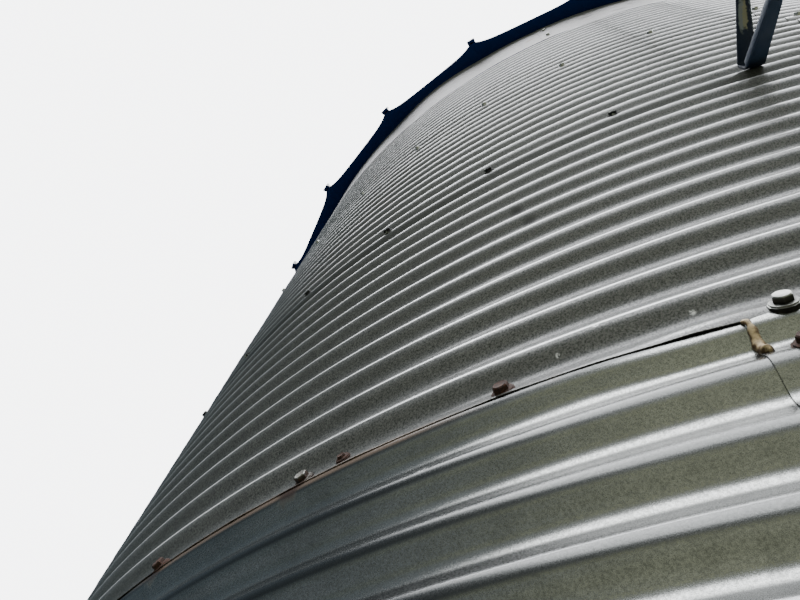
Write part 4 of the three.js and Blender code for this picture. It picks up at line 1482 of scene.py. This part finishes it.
def bolt_finish(colours, groups):
    """Bolts with zinc plating that turn rusty by each one's own amount, and nearly black past 1; the plating
    carries painted shade and a painted highlight.
    """
    material, tree, shader, where = new_material("bolt zinc")
    amount = carried(tree, "rust")
    ragged = noise(tree, where, 420.0, 4.0, 0.65)
    mask = remap(tree, plus(tree, times(tree, amount, 1.1), times(tree, ragged, 0.6)), 0.62, 0.9)
    [dirt] = use_group(tree, groups["grime_and_shade"], Vector=where, Scale=90.0)
    # Painted shade and highlight: each point's shade darkens the washer and the foot of the head, and lights
    # the head's rim
    plated_and_shaded = mixed(tree, carried(tree, "shade"), (0.015, 0.015, 0.013), (0.46, 0.47, 0.44))
    plated_and_shaded = layered(tree, plated_and_shaded, [(dirt, 0.3, (0.07, 0.07, 0.055))])
    flakes = remap(tree, noise(tree, where, 500.0, 3.0), 0.45, 0.7)
    base = mixed(tree, mask, plated_and_shaded, mixed(tree, flakes, colours.rust, (0.085, 0.032, 0.016)))
    bits = remap(tree, noise(tree, where, 110.0, 2.0), 0.58, 0.64)
    old = mixed(tree, bits, (0.008, 0.008, 0.010), (0.30, 0.32, 0.28))
    base = mixed(tree, remap(tree, amount, 1.1, 1.4), base, old)
    rough, metal = between(tree, mask, 0.34, 0.85), between(tree, mask, 0.7, 0.05)
    finish(tree, shader, base, rough, metal, ragged, 0.3, GRAIN_DEPTH)
    return material


def strap_finish(colours, groups):
    """Dark blue-black steel, bluer on the raking leg; the level leg's paint is worn off in one patch.

    The patch is grey beside olive. The raking leg's fold has a painted highlight along its edge, and one
    scratch is bare.
    """
    material, tree, shader, where = new_material("strap steel")
    across, along = surface_place(tree)
    shift = times(tree, minus(tree, noise(tree, where, 160.0, 4.0, 0.6), 0.5), 0.012)
    x, y = plus(tree, across, shift), plus(tree, along, times(tree, shift, 3.0))
    centre_x, centre_y, half_x, half_y = STRAP_PATCH
    grey = oval(tree, x, y, centre_x - 0.4 * half_x, centre_y, half_x, half_y, 0.2)
    olive = oval(tree, x, y, centre_x + 0.5 * half_x, centre_y, half_x * 0.6, half_y * 0.9, 0.2)
    [dust] = use_group(tree, groups["grime_and_shade"], Vector=where, Scale=40.0)
    raking = remap(tree, along, STRAP_TURN, STRAP_TURN + 0.02)
    # Painted highlight: a pale line along the edge of the raking leg's fold
    rim = times(tree, remap(tree, across, -0.0160, -0.0185), raking)
    scratch = times(tree, remap(tree, x, 0.0125, 0.0138), remap(tree, y, 0.115, 0.105))
    base = layered(
        tree, colours.strap, ((dust, 0.35, (0.03, 0.04, 0.055)), (raking, 0.5, (0.045, 0.085, 0.16)))
    )
    base = mixed(tree, maths(tree, "MAXIMUM", rim, scratch), base, (0.20, 0.23, 0.26))
    base = layered(tree, base, ((grey, 0.85, (0.28, 0.30, 0.29)), (olive, 0.9, (0.32, 0.30, 0.19))))
    shader.inputs["Specular IOR Level"].default_value = 0.3
    rough = between(tree, dust, 0.40, 0.58)
    finish(tree, shader, base, rough, 0.0, noise(tree, where, 500.0, 3.0), 0.2, 0.0005)
    return material


def sealant_finish(colours):
    """Old tan sealant with darker folds, and painted shade along its edges."""
    material, tree, shader, where = new_material("sealant")
    shade = noise(tree, where, 190.0, 4.0, 0.6)
    # Painted shade darkens the bead toward its edges
    edge = times(tree, carried(tree, "edge"), 0.7)
    tone = maths(tree, "SUBTRACT", remap(tree, shade, 0.30, 0.6), edge, clamp=True)
    base = mixed(tree, tone, (0.12, 0.07, 0.03), colours.sealant)
    finish(tree, shader, base, 0.62, 0.0, shade, 0.5, 0.001)
    return material


def make_materials(colours):
    """Every finish of the silo, by name."""
    groups = {
        "grain": grain_group(), "corrugation": corrugation_group(), "streaks": streak_group(),
        "grime_and_shade": grime_group(), "stains": seam_stain_group(),
    }
    matt, bright = (colours.matt_light, colours.matt_dark), (colours.bright_light, colours.bright_dark)
    return {
        "matt_zinc": wall_zinc("matt corrugated zinc", colours, groups, *matt, MATT_SHEET),
        "bright_zinc": wall_zinc("bright corrugated zinc", colours, groups, *bright, BRIGHT_SHEET),
        "band_zinc": band_finish(colours, groups),
        "roof_zinc": plain_zinc("roof zinc", colours, groups, ROOF_SHEET),
        "fitting_zinc": plain_zinc("fitting zinc", colours, groups, FITTINGS),
        "bolt_zinc": bolt_finish(colours, groups),
        "strap_steel": strap_finish(colours, groups),
        "sealant": sealant_finish(colours),
    }


# The stage


def floor_paint(colours):
    """Pale floor paint where it is seen; what lights and is mirrored in the wall is the darker field."""
    material, tree, shader, where = new_material("floor paint")
    tone = mixed(tree, noise(tree, where, 0.8, 3.0), tuple(0.96 * c for c in colours.floor), colours.floor)
    seen = tree.nodes.new("ShaderNodeLightPath").outputs["Is Camera Ray"]
    lit = FLOOR_LIGHT * colours.zenith
    near, left = (tuple(c / lit for c in paint) for paint in (colours.field, colours.slate))
    x = add_node(tree, "ShaderNodeSeparateXYZ", {0: where}).outputs[0]
    field = mixed(tree, remap(tree, x, -0.6, -3.6), near, left)
    finish(tree, shader, mixed(tree, seen, field, tone), 0.85, 0.0)
    return material


def overcast_sky(colours):
    """A bright overcast over a dark skyline that rises to the left of the camera; plain where it is seen."""
    world = bpy.data.worlds.new("overcast sky")
    world.use_nodes = True
    tree = world.node_tree
    tree.nodes.clear()
    toward = tree.nodes.new("ShaderNodeTexCoord").outputs["Generated"]
    parts = add_node(tree, "ShaderNodeSeparateXYZ", {0: toward})
    x, y, up = parts.outputs
    east = times(tree, x, math.sin(SKYLINE_AZIMUTH))
    south = times(tree, y, -math.cos(SKYLINE_AZIMUTH))
    turned = maths(tree, "DIVIDE", plus(tree, east, south), slant(tree, x, y))
    over = minus(tree, up, remap(tree, turned, 0.0, 0.9, SKYLINE_LOW, SKYLINE_HIGH))
    leftward = remap(tree, turned, 0.2, 0.95)
    mass = mixed(tree, leftward, colours.mass, colours.slate)
    field = mixed(tree, leftward, colours.field, colours.slate)
    low = mixed(tree, remap(tree, up, 0.1, 0.3), field, mass)
    zenith = tuple(colours.zenith * c for c in (0.98, 1.0, 1.03))
    glow = mixed(tree, remap(tree, over, -0.07, 0.07), low, zenith)
    shown = tree.nodes.new("ShaderNodeLightPath").outputs["Is Camera Ray"]
    seen = mixed(tree, shown, glow, tuple(colours.backdrop * c for c in (0.99, 1.0, 1.02)))
    background = add_node(tree, "ShaderNodeBackground", {"Color": seen, "Strength": 1.0})
    out = tree.nodes.new("ShaderNodeOutputWorld")
    tree.links.new(background.outputs[0], out.inputs[0])
    return world


def build_stage(colours, view):
    """Floor, overcast sky and the photograph's camera."""
    turn = np.arange(FLOOR_SIDES) * 360 / FLOOR_SIDES
    points = on_silo(np.array(FLOOR_RINGS)[:, None], turn[None, :], -FLOOR_DROP)
    quads = grid_quads(len(FLOOR_RINGS), FLOOR_SIDES, wrap=True, flip=True)
    mesh = bpy.data.meshes.new("floor")
    mesh.from_pydata(points.reshape(-1, 3).tolist(), [], quads.tolist())
    mesh.materials.append(floor_paint(colours))
    floor = bpy.data.objects.new("floor", mesh)
    bpy.context.scene.collection.objects.link(floor)
    bpy.context.scene.world = overcast_sky(colours)

    data = bpy.data.cameras.new("camera")
    data.sensor_width = 36.0
    data.lens = view.lens
    data.clip_start, data.clip_end = 0.02, 200.0
    camera = bpy.data.objects.new("camera", data)
    bpy.context.scene.collection.objects.link(camera)
    forward = Vector(
        (
            -math.sin(view.heading) * math.cos(view.elevation),
            math.cos(view.heading) * math.cos(view.elevation),
            math.sin(view.elevation),
        )
    )
    level = Vector((math.cos(view.heading), math.sin(view.heading), 0.0))
    square = level.cross(forward)
    right = math.cos(view.roll) * level + math.sin(view.roll) * square
    up = -math.sin(view.roll) * level + math.cos(view.roll) * square
    axes = Matrix((right, up, -forward)).transposed().to_4x4()
    axes.translation = Vector((0.0, -view.distance, view.height))
    camera.matrix_world = axes
    bpy.context.scene.camera = camera


# Operators


def finishes(context):
    """The materials, made once."""
    made = {m["silo_finish"]: m for m in bpy.data.materials if "silo_finish" in m}
    if not made:
        made = make_materials(context.scene.silo_colours)
        for key, material in made.items():
            material["silo_finish"] = key
    return made


class SILO_OT_stage(bpy.types.Operator):
    """Add the floor, the sky and the photograph's camera"""

    bl_idname = "silo.stage"
    bl_label = "Stage"

    def execute(self, context):
        build_stage(context.scene.silo_colours, context.scene.silo_camera)
        return {"FINISHED"}


class SILO_OT_wall(bpy.types.Operator):
    """Build the corrugated rings"""

    bl_idname = "silo.wall"
    bl_label = "Wall"

    def execute(self, context):
        build_wall(context.scene.silo_wall, finishes(context))
        return {"FINISHED"}


class SILO_OT_band(bpy.types.Operator):
    """Build the plain band under the roof"""

    bl_idname = "silo.band"
    bl_label = "Eave band"

    def execute(self, context):
        build_band(context.scene.silo_wall, context.scene.silo_roof, finishes(context))
        return {"FINISHED"}


class SILO_OT_base(bpy.types.Operator):
    """Build the angle around the foot"""

    bl_idname = "silo.base"
    bl_label = "Foot angle"

    def execute(self, context):
        build_base(context.scene.silo_wall, finishes(context))
        return {"FINISHED"}


class SILO_OT_roof(bpy.types.Operator):
    """Build the roof panels and their ribs"""

    bl_idname = "silo.roof"
    bl_label = "Roof"

    def execute(self, context):
        build_roof(context.scene.silo_wall, context.scene.silo_roof, finishes(context))
        return {"FINISHED"}


class SILO_OT_peak(bpy.types.Operator):
    """Build the collar and the lid"""

    bl_idname = "silo.peak"
    bl_label = "Peak"

    def execute(self, context):
        build_peak(context.scene.silo_wall, context.scene.silo_roof, finishes(context))
        return {"FINISHED"}


class SILO_OT_ladder(bpy.types.Operator):
    """Build the ladder"""

    bl_idname = "silo.ladder"
    bl_label = "Ladder"

    def execute(self, context):
        build_ladder(context.scene.silo_wall, context.scene.silo_ladder, finishes(context))
        return {"FINISHED"}


class SILO_OT_straps(bpy.types.Operator):
    """Build the V-shaped straps"""

    bl_idname = "silo.straps"
    bl_label = "Straps"

    def execute(self, context):
        build_straps(context.scene.silo_wall, context.scene.silo_ladder, finishes(context))
        return {"FINISHED"}


class SILO_OT_fasteners(bpy.types.Operator):
    """Add the bolts, anchors and screws"""

    bl_idname = "silo.fasteners"
    bl_label = "Fasteners"

    def execute(self, context):
        build_fasteners(context.scene.silo_wall, context.scene.silo_roof, finishes(context))
        return {"FINISHED"}


class SILO_OT_sealant(bpy.types.Operator):
    """Add the bead of sealant over the lap"""

    bl_idname = "silo.sealant"
    bl_label = "Sealant"

    def execute(self, context):
        build_sealant(context.scene.silo_wall, finishes(context))
        return {"FINISHED"}


OPERATORS = (
    SILO_OT_stage, SILO_OT_wall, SILO_OT_band, SILO_OT_base, SILO_OT_roof, SILO_OT_peak,
    SILO_OT_ladder, SILO_OT_straps, SILO_OT_fasteners, SILO_OT_sealant,
)


class SILO_PT_panel(bpy.types.Panel):
    """Lists the silo's operators and sizes"""

    bl_idname = "SILO_PT_panel"
    bl_label = "Corrugated silo"
    bl_space_type = "VIEW_3D"
    bl_region_type = "UI"
    bl_category = "Silo"

    def draw(self, context):
        for operator in OPERATORS:
            self.layout.operator(operator.bl_idname)
        for key in GROUPS:
            group = getattr(context.scene, key)
            box = self.layout.box()
            for name in group.bl_rna.properties.keys():
                if name not in {"rna_type", "name"}:
                    box.prop(group, name)


GROUPS = {
    "silo_wall": WallSizes,
    "silo_roof": RoofSizes,
    "silo_ladder": LadderSizes,
    "silo_colours": Finishes,
    "silo_camera": CameraSizes,
}
CLASSES = (*GROUPS.values(), *OPERATORS, SILO_PT_panel)


def register():
    """Registers the classes and gives the scene its property groups."""
    for cls in CLASSES:
        bpy.utils.register_class(cls)
    for name, cls in GROUPS.items():
        setattr(bpy.types.Scene, name, PointerProperty(type=cls))


def unregister():
    """Takes back what register did."""
    for name in GROUPS:
        delattr(bpy.types.Scene, name)
    for cls in reversed(CLASSES):
        bpy.utils.unregister_class(cls)


def main():
    """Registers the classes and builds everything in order."""
    register()
    for operator in OPERATORS:
        group, name = operator.bl_idname.split(".")
        getattr(getattr(bpy.ops, group), name)()


if __name__ == "__main__":
    main()
